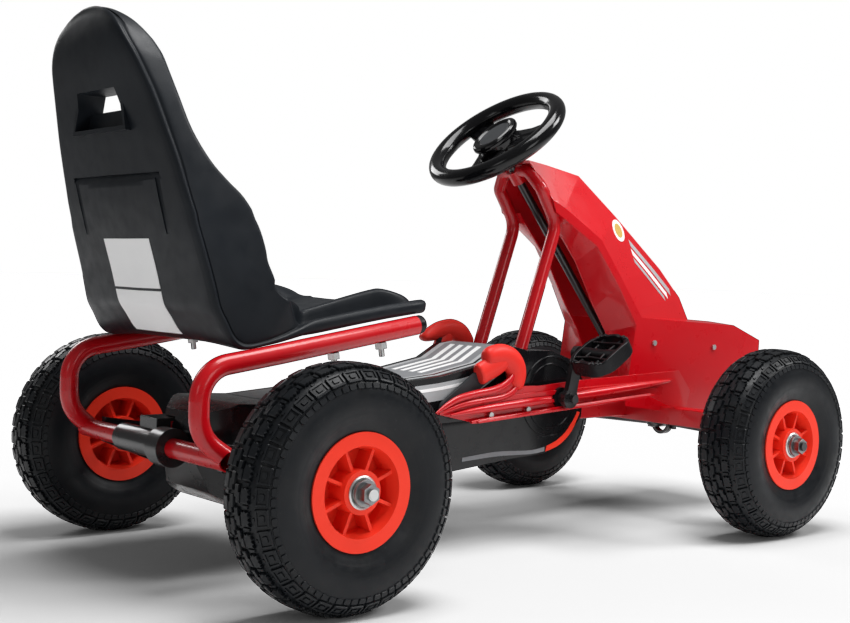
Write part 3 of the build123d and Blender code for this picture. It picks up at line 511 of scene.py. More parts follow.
# Shoulder pad and its border, and the outer pads: their rectangles, corner cuts and heights.
PADS = [
    (0.06, 0.92, 27.2, 40.4, 2, 1.4), (0.06, 0.92, 27.2, 29.4, 0.5, 2.7), (0.06, 0.92, 38.2, 40.4, 0.5, 2.7),
    (0.06, 0.17, 29, 38.6, 0.4, 2.7), (0.81, 0.92, 29, 38.6, 0.4, 2.7), (0.32, 0.66, 31.4, 36.2, 0.8, 2.3),
    (0, 0.44, 42.2, 48, 1.2, 1.5), (0.52, 0.96, 42.2, 48, 1.2, 1.5),
]
TREAD_BLOCKS = [(CENTRE_BLOCK, 3.4), (TOOTHED_BLOCK, 3.4), (WEDGE, 2.2), (BRIDGE, 1.6)]
TREAD_BLOCKS += [(pad_outline(*pad), height) for *pad, height in PADS]


def tyre_mesh():
    """Carcass with sidewall rings, beads and tread blocks, about the Y axis."""
    skin = TyreSkin()
    section = []
    for i in range(SECTION_STEPS + 1):
        distance = skin.reach[-1] * i / SECTION_STEPS
        point, normal = skin.section(distance)
        rib = 0.35 * max(0, sin((distance - 58) * 2 * pi / 5.2)) if 73 < distance < 84 else 0
        section.append((point.x + normal.x * rib, point.y + normal.y * rib))
    section += [(29.5, 58.5), (28, 57)]
    outline = [(-y, r) for y, r in reversed(section)] + section[1:]
    verts = [(r * cos(turn), y, r * sin(turn)) for turn in turns(TYRE_STEPS) for y, r in outline]
    faces = grid_faces(TYRE_STEPS, len(outline), wrap_rows=True)
    step = 2 * pi / TREAD_PITCHES
    for pitch in range(TREAD_PITCHES):
        for mirror, shift in ((1, 0), (-1, 0.5)):
            for outline, height in TREAD_BLOCKS:
                tread_block(skin, verts, faces, outline, (pitch + shift) * step, mirror, height, step)
    return raw_mesh("tyre", verts, faces)


def make_tyres():
    """Four tyres, each turned a little from the others, in place of the CAD's plain carcasses."""
    for index, (name, body) in enumerate(WHEEL_BODY.items()):
        mesh = tyre_mesh()
        centre = middle_of(f"tyre_{name}") * MM
        mesh.transform(Matrix.Translation(centre) @ Matrix.Rotation(TYRE_TURN * index, 4, "Y"))
        finish_piece(f"tread_tyre_{name}", mesh, "tyre", body, 32, f"tyre_{name}")


# --- Seat ---

# Outer skin (x, z), rim (x, z), half width and share of the tub-shaped section, front to back.
SEAT_STATIONS = [
    (-178.5, 306, -177.5, 313, 146, 0), (-183, 305.2, -181, 319, 152, 0), (-196, 304, -195, 326, 155, 0),
    (-222, 300.5, -222, 332, 155, 0), (-240, 298, -240, 330.5, 155, 0), (-284, 291, -284, 320, 155, 0),
    (-328, 283.5, -328, 309, 155, 0), (-345, 280.8, -341, 307.5, 155, 0.1),
    (-365, 277.6, -350, 312, 155, 0.45), (-384, 274.5, -362, 316, 155, 0.8),
    (-406, 272, -374, 320, 155, 1), (-428, 270, -383, 325, 155, 1), (-440, 273, -389, 330, 155, 1),
    (-450, 282, -393, 335, 155, 1), (-459, 298, -393, 342, 154.5, 1), (-467, 312, -397, 351, 154, 1),
    (-472, 330, -401, 362, 153, 1), (-478, 352, -403.5, 378, 151, 1), (-490, 391, -411, 402, 148, 1),
    (-499, 420, -427, 427, 144, 1), (-505, 442, -445, 444, 140, 1), (-511, 464, -464, 464, 136, 1),
    (-520, 495, -482, 495, 128, 1), (-530, 531, -493, 531, 117, 1), (-538, 556, -499, 556, 107, 1),
]
# Crown above the last station: back skin and rim as (z, x), outline as (y, z) about its middle height.
CROWN_BACK = [(531, -530), (556, -538), (575, -544), (590, -547.6), (602, -548.8), (614, -548), (631, -545)]
CROWN_RIM = [(531, -493), (556, -499), (575, -503), (590, -508), (612, -519), (631, -532)]
CROWN_MIDDLE = 556
CROWN_OUTLINE = [(117, 531), (107, 556), (98.5, 574), (87, 590), (74, 604), (60, 614.2), (45, 621.6),
                 (30, 626.6), (15, 629.6), (0, 630.5)]
SEAT_HALF = 155
SEAT_DROOP = 8
PAN_THICK = 9
SEAT_SPLITS = 4
# Raised surround, pocket and hand hole: (y, z) corners, reach along X and what is done with them.
SEAT_CARVES = [
    ("surround", [(-64, 495), (64, 495), (52, 547), (-52, 547)], -528, -498, "UNION"),
    ("pocket", [(-59, 500), (59, 500), (45, 541), (-45, 541)], -620, -512, "DIFFERENCE"),
    ("hole", [(-52, 520), (52, 520), (45, 541), (-45, 541)], -620, -440, "DIFFERENCE"),
]
BACK_ROW, BACK_FOOT = 44, 282           # first row and lowest height of the back panel
BAR_MIDDLE, BAR_HALF = 445, 103
GROOVE_DEPTH = 3
GROOVE_FOOT, GROOVE_HEAD = 386, 446
GROOVE_Y0, GROOVE_Y1 = 92, 101
LABEL_SPANS = ((326.5, 381), (277, 323.5))
LABEL_Y0, LABEL_Y1 = -52, 56
LABEL_ROWS, LABEL_COLUMNS = 13, 19


def tub_section(reach, depth):
    """Back section from the centre line round the rim: (inward of the edge, forward of the skin)."""
    lip = min(1, depth / 32)
    deep = min(1, depth / 26)
    return [(reach, 0), (reach * 0.5, 0.3), (17, 1.2), (7, 2), (2.6, 3 * deep), (0.7, 4.6 * deep),
            (0.1, 6.6 * deep), (0.9, 8 * deep), (2.3, 9.2 * deep), (2.5, 10.6 * deep),
            (1.2, 12.8 * deep), (0.3, 0.45 * depth), (0, depth - 8 * lip), (0.3, depth - 3 * lip),
            (1.8, depth - 0.7), (3.8, depth), (6, depth - 0.9), (7.2, depth - 3.2 * lip),
            (7.6, depth - 8 * lip), (8.4, 0.55 * depth), (10, 0.42 * depth + 5), (14.5, 13), (25, 10.4),
            (reach * 0.5, 9.2), (reach, 9)]


def pan_section(half, crest):
    """Front pan section from the centre line round the channelled flange: (across, up)."""
    p = PAN_THICK
    scale = half / SEAT_HALF
    rows = [(0, 0), (70, 0), (128, 0.3), (146, 0), (152, 0.8), (155, 4), (155, 10.5), (153, 14),
            (150, 15.5), (146.5, 15.5), (144.5, 14), (143.5, 9), (140, 8), (131, 8), (128, 9.5),
            (125.5, crest - 4), (123, crest - 0.8), (119, crest), (114, crest - 1), (108, crest - 3),
            (100, (crest + p) / 2), (92, p + 3), (80, p + 1), (45, p), (0, p)]
    return [(y * scale, min(up, crest)) for y, up in rows]


def pair_line(pairs, at):
    """Straight-line lookup in a list of (key, value) pairs."""
    for (a, low), (b, high) in zip(pairs, pairs[1:]):
        if at <= b:
            return low + (high - low) * max(0, (at - a) / (b - a))
    return pairs[-1][1]


def seat_bulge(height):
    """How far the back panel's middle stands out behind its edges."""
    return 5 * share_of((540 - height) / 140) * share_of((height - 270) / 40)


def seat_point(start, forward, across, inward, ahead, bulge):
    """Point of the seat's back section, across being the half width there."""
    y = across - inward
    share = max(0, 1 - (y / across) ** 2) if ahead < 13 and inward > 4 else 0
    place = start + forward * (ahead - bulge * share)
    return (place.x, y, place.y)


def seat_rows():
    """Half-width rows of seat points, from the front lip round the bottom and up to the crown."""
    stations = [(*station[:5], station[5] * 100) for station in SEAT_STATIONS]
    rows = []
    for x, z, rim_x, rim_z, half, share in smooth_line(stations, SEAT_SPLITS):
        start = Vector((x, z))
        forward = Vector((rim_x, rim_z)) - start
        depth = forward.length
        forward = forward / depth
        tub = share_of(share / 100)
        bulge = seat_bulge(z) * tub
        row = []
        for (inward, ahead), (y, up) in zip(tub_section(half, depth), pan_section(half, depth)):
            back = seat_point(start, forward, half, inward, ahead, bulge)
            pan = (start.x + forward.x * up, y, start.y + forward.y * up)
            row.append(tuple(a * tub + b * (1 - tub) for a, b in zip(back, pan)))
        droop = SEAT_DROOP * sin(pi * share_of((-355 - x) / 190)) if z < 400 else 0
        rows.append([(px, py, pz - droop * (py / SEAT_HALF) ** 4 * max(0, 1 - (pz - z) / 40))
                     for px, py, pz in row])
    back = [(p.x, p.y) for p in smooth_line([(z, x) for z, x in CROWN_BACK], 8)]
    for y, z in smooth_line(CROWN_OUTLINE, 5)[6:]:
        reach = Vector((y, z - CROWN_MIDDLE))
        radius = reach.length
        depth = pair_line(CROWN_RIM, z) - pair_line(back, z)
        row = []
        for inward, ahead in tub_section(radius, depth):
            spot = reach * (radius - inward) / radius
            row.append((pair_line(back, CROWN_MIDDLE + spot.y) + ahead, spot.x, CROWN_MIDDLE + spot.y))
        rows.append(row)
    return rows


def mirrored_grid(rows):
    """Both halves of a surface from one half's rows, closed along the front edge."""
    verts = []
    faces = []
    columns = len(rows[0])
    for side in (1, -1):
        first = len(verts)
        verts += [(x, y * side, z) for row in rows for x, y, z in row]
        faces += [tuple(first + i for i in face) for face in grid_faces(len(rows), columns)]
    mirror = len(rows) * columns
    for column in range((columns - 1) // 2):
        far = columns - 1 - column
        faces.append((column, column + 1, far - 1, far))
        faces.append((mirror + column, mirror + column + 1, mirror + far - 1, mirror + far))
    return verts, faces


def cutter(name, low, high):
    """Closed solid between two outlines of the same number of points, for carving."""
    return cleaned(raw_mesh(name, low + high, closed_tube(2, len(low))))


def prism(name, corners, x0, x1):
    """Cutter along X over corners given as (y, z)."""
    return cutter(name, [(x0, y, z) for y, z in corners], [(x1, y, z) for y, z in corners])


def groove(foot, head, y0, y1):
    """Cutter behind a line between two points (x, z)."""
    (x0, z0), (x1, z1) = foot, head
    corners = [(x0 - 30, z0), (x0, z0), (x1, z1), (x1 - 30, z1)]
    return cutter("groove", [(x, y0, z) for x, z in corners], [(x, y1, z) for x, z in corners])


def carve(mesh, tool, operation="DIFFERENCE"):
    """Mesh with the tool mesh cut away from it or joined to it."""
    target = added("carve_target", mesh)
    blade = added("carve_blade", tool)
    cut = target.modifiers.new("cut", "BOOLEAN")
    cut.operation = operation
    cut.solver = "EXACT"
    cut.object = blade
    bpy.context.view_layer.update()
    result = bpy.data.meshes.new_from_object(target.evaluated_get(bpy.context.evaluated_depsgraph_get()))
    for thing in (target, blade):
        bpy.data.objects.remove(thing)
    return result


def seat_skin_x(rows, z):
    """X of the back panel's outer skin on the centre line at height z."""
    line = [(row[0][2], row[0][0]) for row in rows[BACK_ROW:] if row[0][2] > BACK_FOOT]
    return pair_line(sorted(line), z)


def make_seat():
    """Seat shell with its hand hole and back grooves, and two blank labels."""
    rows = seat_rows()
    fine = [[tuple(p) for p in smooth_line(row, 3)] for row in rows]
    mesh = cleaned(raw_mesh("seat", *mirrored_grid(fine)), merge=0.00005)
    for name, corners, x0, x1, operation in SEAT_CARVES:
        mesh = carve(mesh, prism(name, corners, x0, x1), operation)
    bar = seat_skin_x(rows, BAR_MIDDLE)
    foot, head = (bar + 0.6, BAR_MIDDLE - 5.5), (bar + 4.6, BAR_MIDDLE + 5.5)
    mesh = carve(mesh, groove(foot, head, -BAR_HALF, BAR_HALF))
    foot, head = ((seat_skin_x(rows, z) + GROOVE_DEPTH, z) for z in (GROOVE_FOOT, GROOVE_HEAD))
    for side in (-1, 1):
        mesh = carve(mesh, groove(foot, head, GROOVE_Y0 * side, GROOVE_Y1 * side))
    finish_piece("seat_body", mesh, "seat_black", "chassis", 38, "seat_shell")
    for index, (low, high) in enumerate(LABEL_SPANS):
        make_label(f"blank_label_{index}", fine, low, high)


def make_label(name, rows, low, high):
    """Blank paper label on the back panel between two heights."""
    line = [row for row in rows if row[0][0] < -430 and low - 9 < row[0][2] < high + 16]
    centre = [Vector((row[0][0], row[0][2])) for row in line]
    verts = []
    for step in range(LABEL_ROWS):
        z = low + (high - low) * step / (LABEL_ROWS - 1)
        i = next(k for k in range(len(centre) - 1) if centre[k + 1].y >= z)
        t = (z - centre[i].y) / (centre[i + 1].y - centre[i].y)
        for column in range(LABEL_COLUMNS):
            y = LABEL_Y0 + (LABEL_Y1 - LABEL_Y0) * column / (LABEL_COLUMNS - 1)
            here = Vector(label_spot(line[i], abs(y))).lerp(Vector(label_spot(line[i + 1], abs(y))), t)
            verts.append(Vector((here.x, y, here.z)))
    outward = (centre[-1] - centre[0]).normalized()
    lift = Vector((-outward.y, 0, outward.x)) * 0.5
    slab(name, LABEL_ROWS, LABEL_COLUMNS, [v + lift for v in verts], [v - lift for v in verts], "label_white")


def label_spot(row, y):
    """Point of a section row on the outer skin, at a distance y across."""
    for a, b in zip(row, row[1:]):
        if min(a[1], b[1]) <= y <= max(a[1], b[1]):
            share = (y - a[1]) / (b[1] - a[1]) if b[1] != a[1] else 0
            return tuple(p + (q - p) * share for p, q in zip(a, b))
    return row[0]


# --- Shared shaping ---

def cad_copy(node):
    """Mesh of a CAD node in world space, its flat regions merged into single faces."""
    source = NODES[node]
    work = bmesh.new()
    work.from_mesh(source.data)
    work.transform(source.matrix_world)
    bmesh.ops.remove_doubles(work, verts=work.verts, dist=0.00001)
    bmesh.ops.dissolve_limit(work, angle_limit=radians(0.6), verts=work.verts, edges=work.edges)
    mesh = bpy.data.meshes.new(node + "_copy")
    work.to_mesh(mesh)
    work.free()
    return mesh


def reworked(node, name, width, segments=3, angle=25, smooth=38, paint=None):
    """Piece in place of a CAD node, of its shape but with rounded edges."""
    piece = finish_piece(name, cad_copy(node), paint or SLOT_OF[node], BODY_OF[node], smooth, node)
    add_bevel(piece, width, segments, angle, harden=True)


def tube_along(points, radii, sides=20):
    """Capped tube along a line; each point has a radius in XZ and one across."""
    verts = []
    for i, (point, (radius, across)) in enumerate(zip(points, radii)):
        along = heading(points, i)
        out = Vector((-along.z, 0, along.x)).normalized()
        for turn in turns(sides):
            spot = point + out * cos(turn) * radius + Vector((0, 1, 0)) * sin(turn) * across
            verts.append(tuple(spot))
    return verts, closed_tube(len(points), sides)


def rounded_ends(radii, count, share=0.35):
    """Radii pulled in at both ends so that a tube ends in a dome."""
    out = []
    for i, (a, b) in enumerate(radii):
        edge = min(i, len(radii) - 1 - i) / count
        grow = 1 if edge >= 1 else share + (1 - share) * sqrt(max(0, 1 - (1 - edge) ** 2))
        out.append((a * grow, b * grow))
    return out


# --- Fairing ---

class Facet:
    """Flat bevel on one side of the fairing, its sheet found by casting rays."""

    def __init__(self, tree, side):
        low, high, back = (Vector((x, side * y, z)) for x, y, z in BEVEL_CORNERS)
        self.tree = tree
        self.origin = back
        self.normal = (high - low).cross(back - low).normalized()
        if self.normal.y * side < 0:
            self.normal = -self.normal
        self.down = (high - back).normalized()
        self.out = self.normal.cross(self.down).normalized()
        if self.out.z > 0:
            self.out = -self.out

    def on_sheet(self, along, out, lift):
        """Point lift above the sheet, at distances down the bevel and out across it."""
        spot = self.origin + self.down * along + self.out * out + self.normal * RAY_START
        hit = self.tree.ray_cast(spot * MM, -self.normal)[0]
        return tuple((spot if hit is None else hit / MM) + self.normal * lift)


# Three corners of the right-hand bevel; stripes as (start, end, near edge, far edge, paint).
BEVEL_CORNERS = [(258, 58.5, 347), (382, 30, 368), (277, 30, 444)]
BEVEL_STRIPES = [(40, 162, 14, 22, "print_silver"), (48, 156, 26, 33, "print_white"),
                 (56, 150, 37, 42, "print_silver")]
STRIPE_SLANT = 7
STRIPE_STEPS = 18
ROUNDEL_AT = (12, 20)
RAY_START = 40
PRINT_LIFT = 0.25
PRINT_FOOT = -0.6


def roundel(name, facet, radius, lift, paint):
    """Thin printed disc on the bevel."""
    along, out = ROUNDEL_AT
    ring = [(along + radius * cos(turn), out + radius * sin(turn)) for turn in turns(40)]
    verts = [facet.on_sheet(*spot, level) for level in (lift, PRINT_FOOT) for spot in ring]
    new_piece(name, verts, closed_tube(2, len(ring)), paint, smooth=20)


def bevel_stripe(name, facet, start, end, near, far, paint):
    """Thin printed stripe with slanted ends, laid along the bevel in short steps."""
    verts = []
    for step in range(STRIPE_STEPS + 1):
        along = start + (end - start) * step / STRIPE_STEPS
        for ahead, out, level in ((0, near, PRINT_LIFT), (STRIPE_SLANT, far, PRINT_LIFT),
                                  (STRIPE_SLANT, far, PRINT_FOOT), (0, near, PRINT_FOOT)):
            verts.append(facet.on_sheet(along + ahead, out, level))
    new_piece(name, verts, closed_tube(STRIPE_STEPS + 1, 4), paint, smooth=20)


def make_fairing():
    """Folded sheet fairing, with a plain roundel and three plain stripes on both bevels."""
    reworked("nose_fairing", "fairing_sheet", 2.2, 3, 12, 30)
    work = bmesh.new()
    work.from_mesh(cad_copy("nose_fairing"))
    tree = BVHTree.FromBMesh(work)
    for side, hand in ((-1, "right"), (1, "left")):
        facet = Facet(tree, side)
        roundel(f"roundel_rim_{hand}", facet, 17, PRINT_LIFT, "print_white")
        roundel(f"roundel_field_{hand}", facet, 11, 0.45, "print_gold")
        for index, stripe in enumerate(BEVEL_STRIPES):
            bevel_stripe(f"bevel_stripe_{index}_{hand}", facet, *stripe)
    work.free()


# --- Grips ---

# Each grip: CAD node, distance across, palm crescent and stem as (x, z, half width).
BRAKE_PALM = [(-39, 246, 10), (-26, 248, 13.5), (-10, 248, 15.5), (6, 243, 16), (17, 231, 16),
              (18, 216, 14.5), (12, 206, 11)]
BRAKE_STEM = [(-48, 224, 14.5), (-34, 230, 14.5), (-18, 236, 14), (-6, 241, 12)]
GEAR_PALM = [(-4, 261, 6), (12, 267, 10), (30, 272, 13), (50, 273, 14.5), (66, 267, 14.5), (77, 256, 13),
             (82, 249, 10)]
GEAR_STEM = [(29, 242, 13), (33, 251, 13), (37, 260, 13.5), (41, 268, 12)]
GRIPS = {
    "brake_palm_grip": ("brake_grip", -101.5, BRAKE_PALM, BRAKE_STEM),
    "gear_palm_grip": ("gear_grip", 67, GEAR_PALM, GEAR_STEM),
}
PALM_HALF = 10.2
HOLDER_HALF = 9.4


def make_grips():
    """Palm grips of both levers: a swept crescent and the block that holds it."""
    for name, (node, y, crescent, stem) in GRIPS.items():
        line, sizes = sized_line(crescent, y, 8)
        verts, faces = tube_along(line, rounded_ends([(r, PALM_HALF) for r in sizes], 6, 0.25))
        new_piece(name, verts, faces, "grip_red", BODY_OF[node], 60, node)
        line, sizes = sized_line(stem, y, 6)
        verts, faces = tube_along(line, rounded_ends([(r, HOLDER_HALF) for r in sizes], 2, 0.82), 24)
        new_piece(name + "_holder", verts, faces, "grip_red", BODY_OF[node], 45, node)


# --- Guard ---

# Guard's sides, and its top, flank, belly and front edges as (x, z) from back to front.
GUARD_SIDES = ((-88, "right"), (52, "left"))
GUARD_RIDGE = [(-327, 197), (-252, 203), (-176, 216), (-95, 223), (-26, 236), (8, 255), (30, 258)]
FLANK_TOP = [(-327, 190), (-252, 196), (-176, 208), (-95, 215), (-40, 224), (-6, 238)]
FLANK_FOOT = [(-327, 172), (-252, 176), (-176, 186), (-95, 193), (-40, 201), (0, 222)]
BELLY_TOP = [(-60, 117), (0, 121), (60, 119), (88, 122)]
BELLY_FOOT = [(-60, 112), (0, 115), (60, 114), (88, 116)]
STREAK_TOP = [(92, 123), (112, 130), (132, 144), (147, 168)]
STREAK_FOOT = [(90, 115.5), (116, 123), (139, 140), (155, 166)]
BAND_SUNK = 0.8
RING_PROFILE = [(0.5, -1.6), (0.5, 1.6), (-1.6, 0.9), (-1.6, -0.9)]


def side_band(name, upper, lower, y, paint, lift=0.7):
    """Printed band on a flat side of the guard between two lines of (x, z)."""
    side = -1 if y < 0 else 1
    line = smooth_line(upper, 6) + smooth_line(lower, 6)
    front = [(x, y + side * lift, z) for x, z in line]
    back = [(x, y - side * BAND_SUNK, z) for x, z in line]
    slab(name, 2, len(line) // 2, front, back, paint)


def top_band(name, y0, y1, paint, lift, start=0, stop=7):
    """Printed band that follows the guard's top between two distances across."""
    line = GUARD_RIDGE[start:stop]
    front, back = ([(x, y, z + level) for x, z in line for y in (y0, y1)] for level in (lift, -BAND_SUNK))
    slab(name, len(line), 2, front, back, paint)


def make_guard_skin():
    """Chain guard shells with rounded shoulders, plain bands and stripes, and rings."""
    reworked("chain_guard_upper", "guard_upper_shell", 4.5, 3, 28, 40)
    reworked("chain_guard_lower", "guard_lower_shell", 3, 2, 28, 40)
    top_band("guard_top_silver", -78, 42, "print_silver", 0.5)
    top_band("guard_top_line", -71, -66, "guard_black", 0.8)
    top_band("guard_top_panel", -58, 32, "print_grey", 0.7, 2, 7)
    for index, y in enumerate((-44, -26, -8, 10)):
        top_band(f"guard_top_stripe_{index}", y, y + 9, "print_white", 0.9, 3, 6)
    for y, hand in GUARD_SIDES:
        side_band(f"guard_side_silver_{hand}", FLANK_TOP, FLANK_FOOT, y, "print_silver")
        inner, stripe = ([(x, z - drop) for x, z in FLANK_TOP] for drop in (5, 9))
        side_band(f"guard_side_white_{hand}", inner, stripe, y, "label_white", 1)
        side_band(f"guard_belly_grey_{hand}", BELLY_TOP, BELLY_FOOT, y, "print_grey")
        side_band(f"guard_red_streak_{hand}", STREAK_TOP, STREAK_FOOT, y, "rim_red")
    for index, radius in enumerate((44, 54)):
        profile = [(y, radius + wide) for y, wide in RING_PROFILE]
        turned(f"guard_disc_ring_{index}", Vector((98, -88, 190)), profile, "guard_black", "chassis", 72)


# --- Steering wheel ---

STEER_CENTRE = Vector((63.9, 0, 540.8))
STEER_UP = Vector((-sin(radians(40)), 0, cos(radians(40))))
STEER_SIDE = Vector((STEER_UP.z, 0, -STEER_UP.x))
STEER_RADIUS = 92.5
# Spoke stations: radius, half width, height of its top, thickness. Turned profiles: radius, height.
SPOKE_STATIONS = [(16, 25, -6, 15), (30, 20, -8, 14), (48, 17, -10, 12), (66, 17, -10, 11),
                  (79, 19, -7, 8), (85, 20, -5, 6)]
BOSS_PROFILE = [(7, -24), (22, -24), (25, -21), (30, -3), (30.5, 0), (7, 0)]
CAP_PROFILE = [(4, 0), (37.5, 0), (39, 2), (39, 6), (37.5, 8.5), (34.5, 9.8), (31.5, 9.5), (29.5, 7.6),
               (28.5, 7), (4, 6.8)]
FACE_PROFILE = [(2, 6.5), (25.5, 6.5), (26.5, 7.2), (25.5, 7.9), (2, 8.1)]
CAP_SQUASH = 0.7


def on_wheel(radius, turn, height):
    """Point of the steering wheel in cylindrical coordinates about its column."""
    across = STEER_SIDE * cos(turn) + Vector((0, 1, 0)) * sin(turn)
    return STEER_CENTRE + across * radius + STEER_UP * height


def lathe_on_wheel(name, node, profile, sides, squash=1, paint="gloss_black"):
    """Turned piece on the steering axis, squashed along Y."""
    spots = [on_wheel(radius, turn, height) for radius, height in profile for turn in turns(sides)]
    verts = [(p.x, p.y * squash, p.z) for p in spots]
    new_piece(name, verts, closed_tube(len(profile), sides), paint, "steering", 32, node)


def wheel_ring():
    """Grip ring with a flatter inner flange."""
    section = []
    for turn in turns(28):
        radius = 11.6 + (0.8 if cos(turn) < -0.4 and sin(turn) < 0.3 else 0)
        section.append((STEER_RADIUS + radius * cos(turn), radius * sin(turn)))
    verts = [tuple(on_wheel(r, turn, h)) for turn in turns(120) for r, h in section]
    new_piece("steering_ring", verts, turned_faces(120, 28), "gloss_black", "steering", 50, "steering_wheel")


def wheel_spoke(name, middle):
    """Broad dished spoke, wider at both of its ends, with a raised rib down its middle."""
    verts = []
    side = Vector((0, 1, 0)) * cos(middle) - STEER_SIDE * sin(middle)
    for radius, half, top, thick in SPOKE_STATIONS:
        for across, lift in ((-half, -thick), (-half, -3), (-half + 3, 0), (-6, 0), (-4, 1.8),
                             (4, 1.8), (6, 0), (half - 3, 0), (half, -3), (half, -thick)):
            verts.append(tuple(on_wheel(radius, middle, top + lift) + side * across))
    faces = closed_tube(len(SPOKE_STATIONS), 10)
    add_bevel(new_piece(name, verts, faces, "gloss_black", "steering", 35, "steering_wheel"), 1.2)


def make_wheel_and_cap():
    """Steering wheel: ring, three spokes, boss and the oval cap with its sunk face."""
    wheel_ring()
    for index in range(3):
        wheel_spoke(f"steering_spoke_{index}", radians(60 + 120 * index))
    lathe_on_wheel("steering_boss", "steering_wheel", BOSS_PROFILE, 64)
    lathe_on_wheel("steering_cap_oval", "steering_cap", CAP_PROFILE, 72, CAP_SQUASH)
    lathe_on_wheel("steering_cap_face", "steering_cap", FACE_PROFILE, 64, CAP_SQUASH, "grey_steel")


# --- Pedals ---

PEDAL_TILT = radians(32)
PEDAL_MIDDLE = 164
# Cross ribs and end treads as (x, y, z) points with a width; barrel as (distance out, radius).
PEDAL_BARS = {
    "rib_a": ([(-30, 149, 0), (0, 152, 1), (30, 149, 0)], 3.4),
    "rib_b": ([(-30, 179, 0), (0, 176, 1), (30, 179, 0)], 3.4),
    "tread_a": ([(-19, 136, 2), (-17, 164, 3), (-19, 192, 2)], 3.2),
    "tread_b": ([(19, 136, 2), (17, 164, 3), (19, 192, 2)], 3.2),
}
PEDAL_BAR_HEIGHT = 13
CAGE_STEPS = 96
BARREL = [(131, 8), (132, 9.6), (145, 9.2), (164, 8.2), (184, 9.2), (195, 9.6), (197, 8.4), (197, 5.4),
          (131, 5.4)]


def pedal_point(centre, hand, x, y, z):
    """Pedal's own coordinates turned and moved to its pin; y counts outwards."""
    turned_x = x * cos(PEDAL_TILT) - z * sin(PEDAL_TILT)
    turned_z = x * sin(PEDAL_TILT) + z * cos(PEDAL_TILT)
    return (centre.x + turned_x, hand * y, centre.z + turned_z)


def pedal_cage():
    """Rounded frame of a pedal, low at its corners and toothed on top."""
    verts = []
    for step, turn in enumerate(turns(CAGE_STEPS)):
        c = cos(turn)
        s = sin(turn)
        x = 35.6 * abs(c) ** 0.5 * (1 if c > 0 else -1)
        y = 33.6 * abs(s) ** 0.5 * (1 if s > 0 else -1)
        half = 8.2 + 2.2 * max(abs(c), abs(s)) ** 6
        top = half + (1.6 if abs(x) > 30 and step % 4 < 2 else 0)
        for grow, z in ((1, -half), (1, top - 1), (0.97, top), (0.84, top), (0.84, -half)):
            verts.append((x * grow, PEDAL_MIDDLE + y * grow, z))
    return verts, turned_faces(CAGE_STEPS, 5)


def pedal_bar(points, width):
    """Flat bar through points (x, y, z) of the pedal."""
    verts = []
    points = [Vector(p) for p in points]
    for i, point in enumerate(points):
        along = heading(points, i)
        side = Vector((along.y, -along.x, 0)).normalized() * width / 2
        for across, lift in ((-1, -1), (1, -1), (1, 1), (-1, 1)):
            spot = point + side * across
            verts.append((spot.x, spot.y, spot.z + lift * PEDAL_BAR_HEIGHT / 2))
    return verts, closed_tube(len(points), 4)


def make_pedals():
    """Caged pedals: toothed frame, cross ribs, end treads and the barrel on the pin."""
    shapes = {"cage": pedal_cage()}
    shapes.update((part, pedal_bar(*bar)) for part, bar in PEDAL_BARS.items())
    barrel = [(r * cos(turn), y, r * sin(turn)) for y, r in BARREL for turn in turns(28)]
    shapes["barrel"] = (barrel, turned_faces(len(BARREL), 28))
    for hand, node in ((-1, "pedal_right"), (1, "pedal_left")):
        centre = middle_of(node)
        for part, (verts, faces) in shapes.items():
            placed = [pedal_point(centre, hand, *v) for v in verts]
            smooth = 40 if part == "barrel" else 35
            piece = new_piece(f"{node}_{part}", placed, faces, "black_plastic", BODY_OF[node], smooth, node)
            if part != "barrel":
                add_bevel(piece, 0.9)


# --- Side rails ---

# Ribs as (x, z, radius), back to front; the first CURLED_RIBS curl up beside the right lever.
CURLED_RIBS = 2
RAIL_RIBS = [
    [(-121, 179, 1.4), (-104, 188, 3.4), (-84, 196, 4.4), (-56, 201, 4.8), (-30, 204, 5), (-10, 209, 5),
     (2, 216, 4.6), (8, 223, 3)],
    [(-116, 178, 1.4), (-96, 183.5, 3), (-70, 189, 4), (-40, 192, 4.2), (-14, 194.5, 4.2), (4, 199, 4),
     (14, 206, 3.4), (19, 213, 2)],
    [(-100, 176, 1.2), (-70, 179, 3.6), (-30, 182.5, 5), (40, 187, 5.4), (74, 189, 4.6)],
    [(122, 192, 4.6), (180, 196, 5.2), (260, 201.5, 4.4), (318, 206, 1.6)],
    [(-66, 165.5, 2), (-40, 167, 3), (60, 173.5, 3.2), (180, 181.5, 3.2), (276, 188, 2)],
]
RAIL_WEB = [(-112, 180), (-84, 192), (-40, 200), (-8, 205), (6, 218), (15, 212), (18, 203), (40, 196),
            (40, 180)]
CURLED_Y = 107
RIB_Y = 110.5
WEB_FACES_Y = (103, 106)


def make_rail_ribs():
    """Rolled ribs and a low web on the outside of both pressed side rails."""
    for hand, name in ((-1, "right"), (1, "left")):
        for index, rib in enumerate(RAIL_RIBS):
            curled = index < CURLED_RIBS
            if curled and hand > 0:
                continue
            line, sizes = sized_line(rib, hand * (CURLED_Y if curled else RIB_Y), 8)
            verts, faces = tube_along(line, [(max(r, 0.8), max(r * 0.9, 0.8)) for r in sizes], 18)
            new_piece(f"rail_rib_{index}_{name}", verts, faces, "frame_red", smooth=50)
        verts = [(x, hand * y, z) for y in WEB_FACES_Y for x, z in RAIL_WEB]
        new_piece(f"rail_web_{name}", verts, closed_tube(2, len(RAIL_WEB)), "frame_red", smooth=30)


# --- Hubs ---

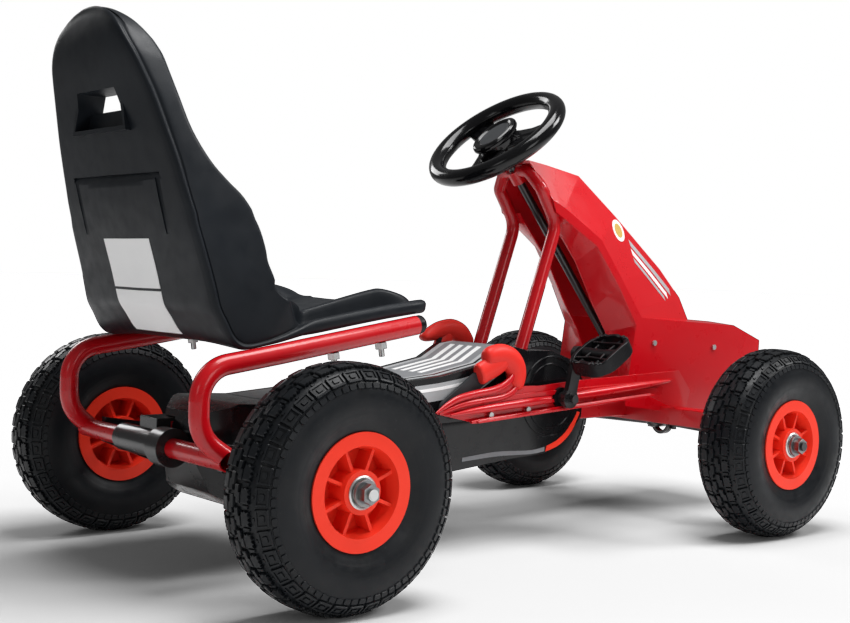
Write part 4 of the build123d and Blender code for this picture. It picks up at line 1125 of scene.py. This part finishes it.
def turned(name, centre, profile, paint, body, sides=48, stands_for=None):
    """Turned ring about an axle from a closed profile of (along Y, radius)."""
    verts = [(centre.x + r * cos(turn), centre.y + y, centre.z + r * sin(turn))
             for turn in turns(sides) for y, r in profile]
    new_piece(name, verts, turned_faces(sides, len(profile)), paint, body, 35, stands_for)


# Bearing cover's section: distance in from the hub's face, and radius in from its edge.
COVER_PROFILE = [(9, 0), (1.2, 0), (0, 1.4), (0.2, 2.6), (1.1, 3.2), (1.1, 4.4)]
COVER_BORE = 12.4
# Nodes whose edges are rounded, and by how much.
SOFT_EDGES = {
    "brake_lever": 1.2, "gear_lever": 1.2, "main_beam": 2.4, "front_axle_beam": 2, "side_rail_right": 0.9,
    "side_rail_left": 0.9, "kingpin_brackets": 1.2, "knuckle_left": 1, "knuckle_right": 1,
    "cross_tube_clamp": 1.6, "crank_shaft": 1.2, "rail_plugs": 2, "axle_brackets": 1.2,
}


def make_hubs():
    """Dished bearing covers on both faces of each hub, and chamfered nuts."""
    for name, body in WHEEL_BODY.items():
        node = f"hub_bearings_{name}"
        low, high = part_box(node)
        reach = (high.y - low.y) / 2 / MM
        radius = (high.x - low.x) / 2 / MM
        profile = [(reach - 9, COVER_BORE)] + [(reach - y, radius - r) for y, r in COVER_PROFILE]
        profile.append((reach - 0.3, COVER_BORE))
        for hand, face in ((1, "left"), (-1, "right")):
            section = [(y * hand, r) for y, r in profile]
            turned(f"bearing_{name}_{face}", middle_of(node), section, "zinc", body, stands_for=node)
    for node in ("axle_nut_front_left", "axle_nut_front_right", "rear_axle_nuts"):
        reworked(node, node + "_chamfered", 0.9, 2, 30, 30, "nut_steel")


def make_soft_edges():
    """Rounded edges on the remaining painted steel and moulded nodes."""
    for node, width in SOFT_EDGES.items():
        reworked(node, node + "_rounded", width, 2, 30, 35)


make_camera()
make_stage()
dress_nodes()
make_tyres()
make_seat()
make_fairing()
make_grips()
make_guard_skin()
make_wheel_and_cap()
make_pedals()
make_rail_ribs()
make_hubs()
make_soft_edges()
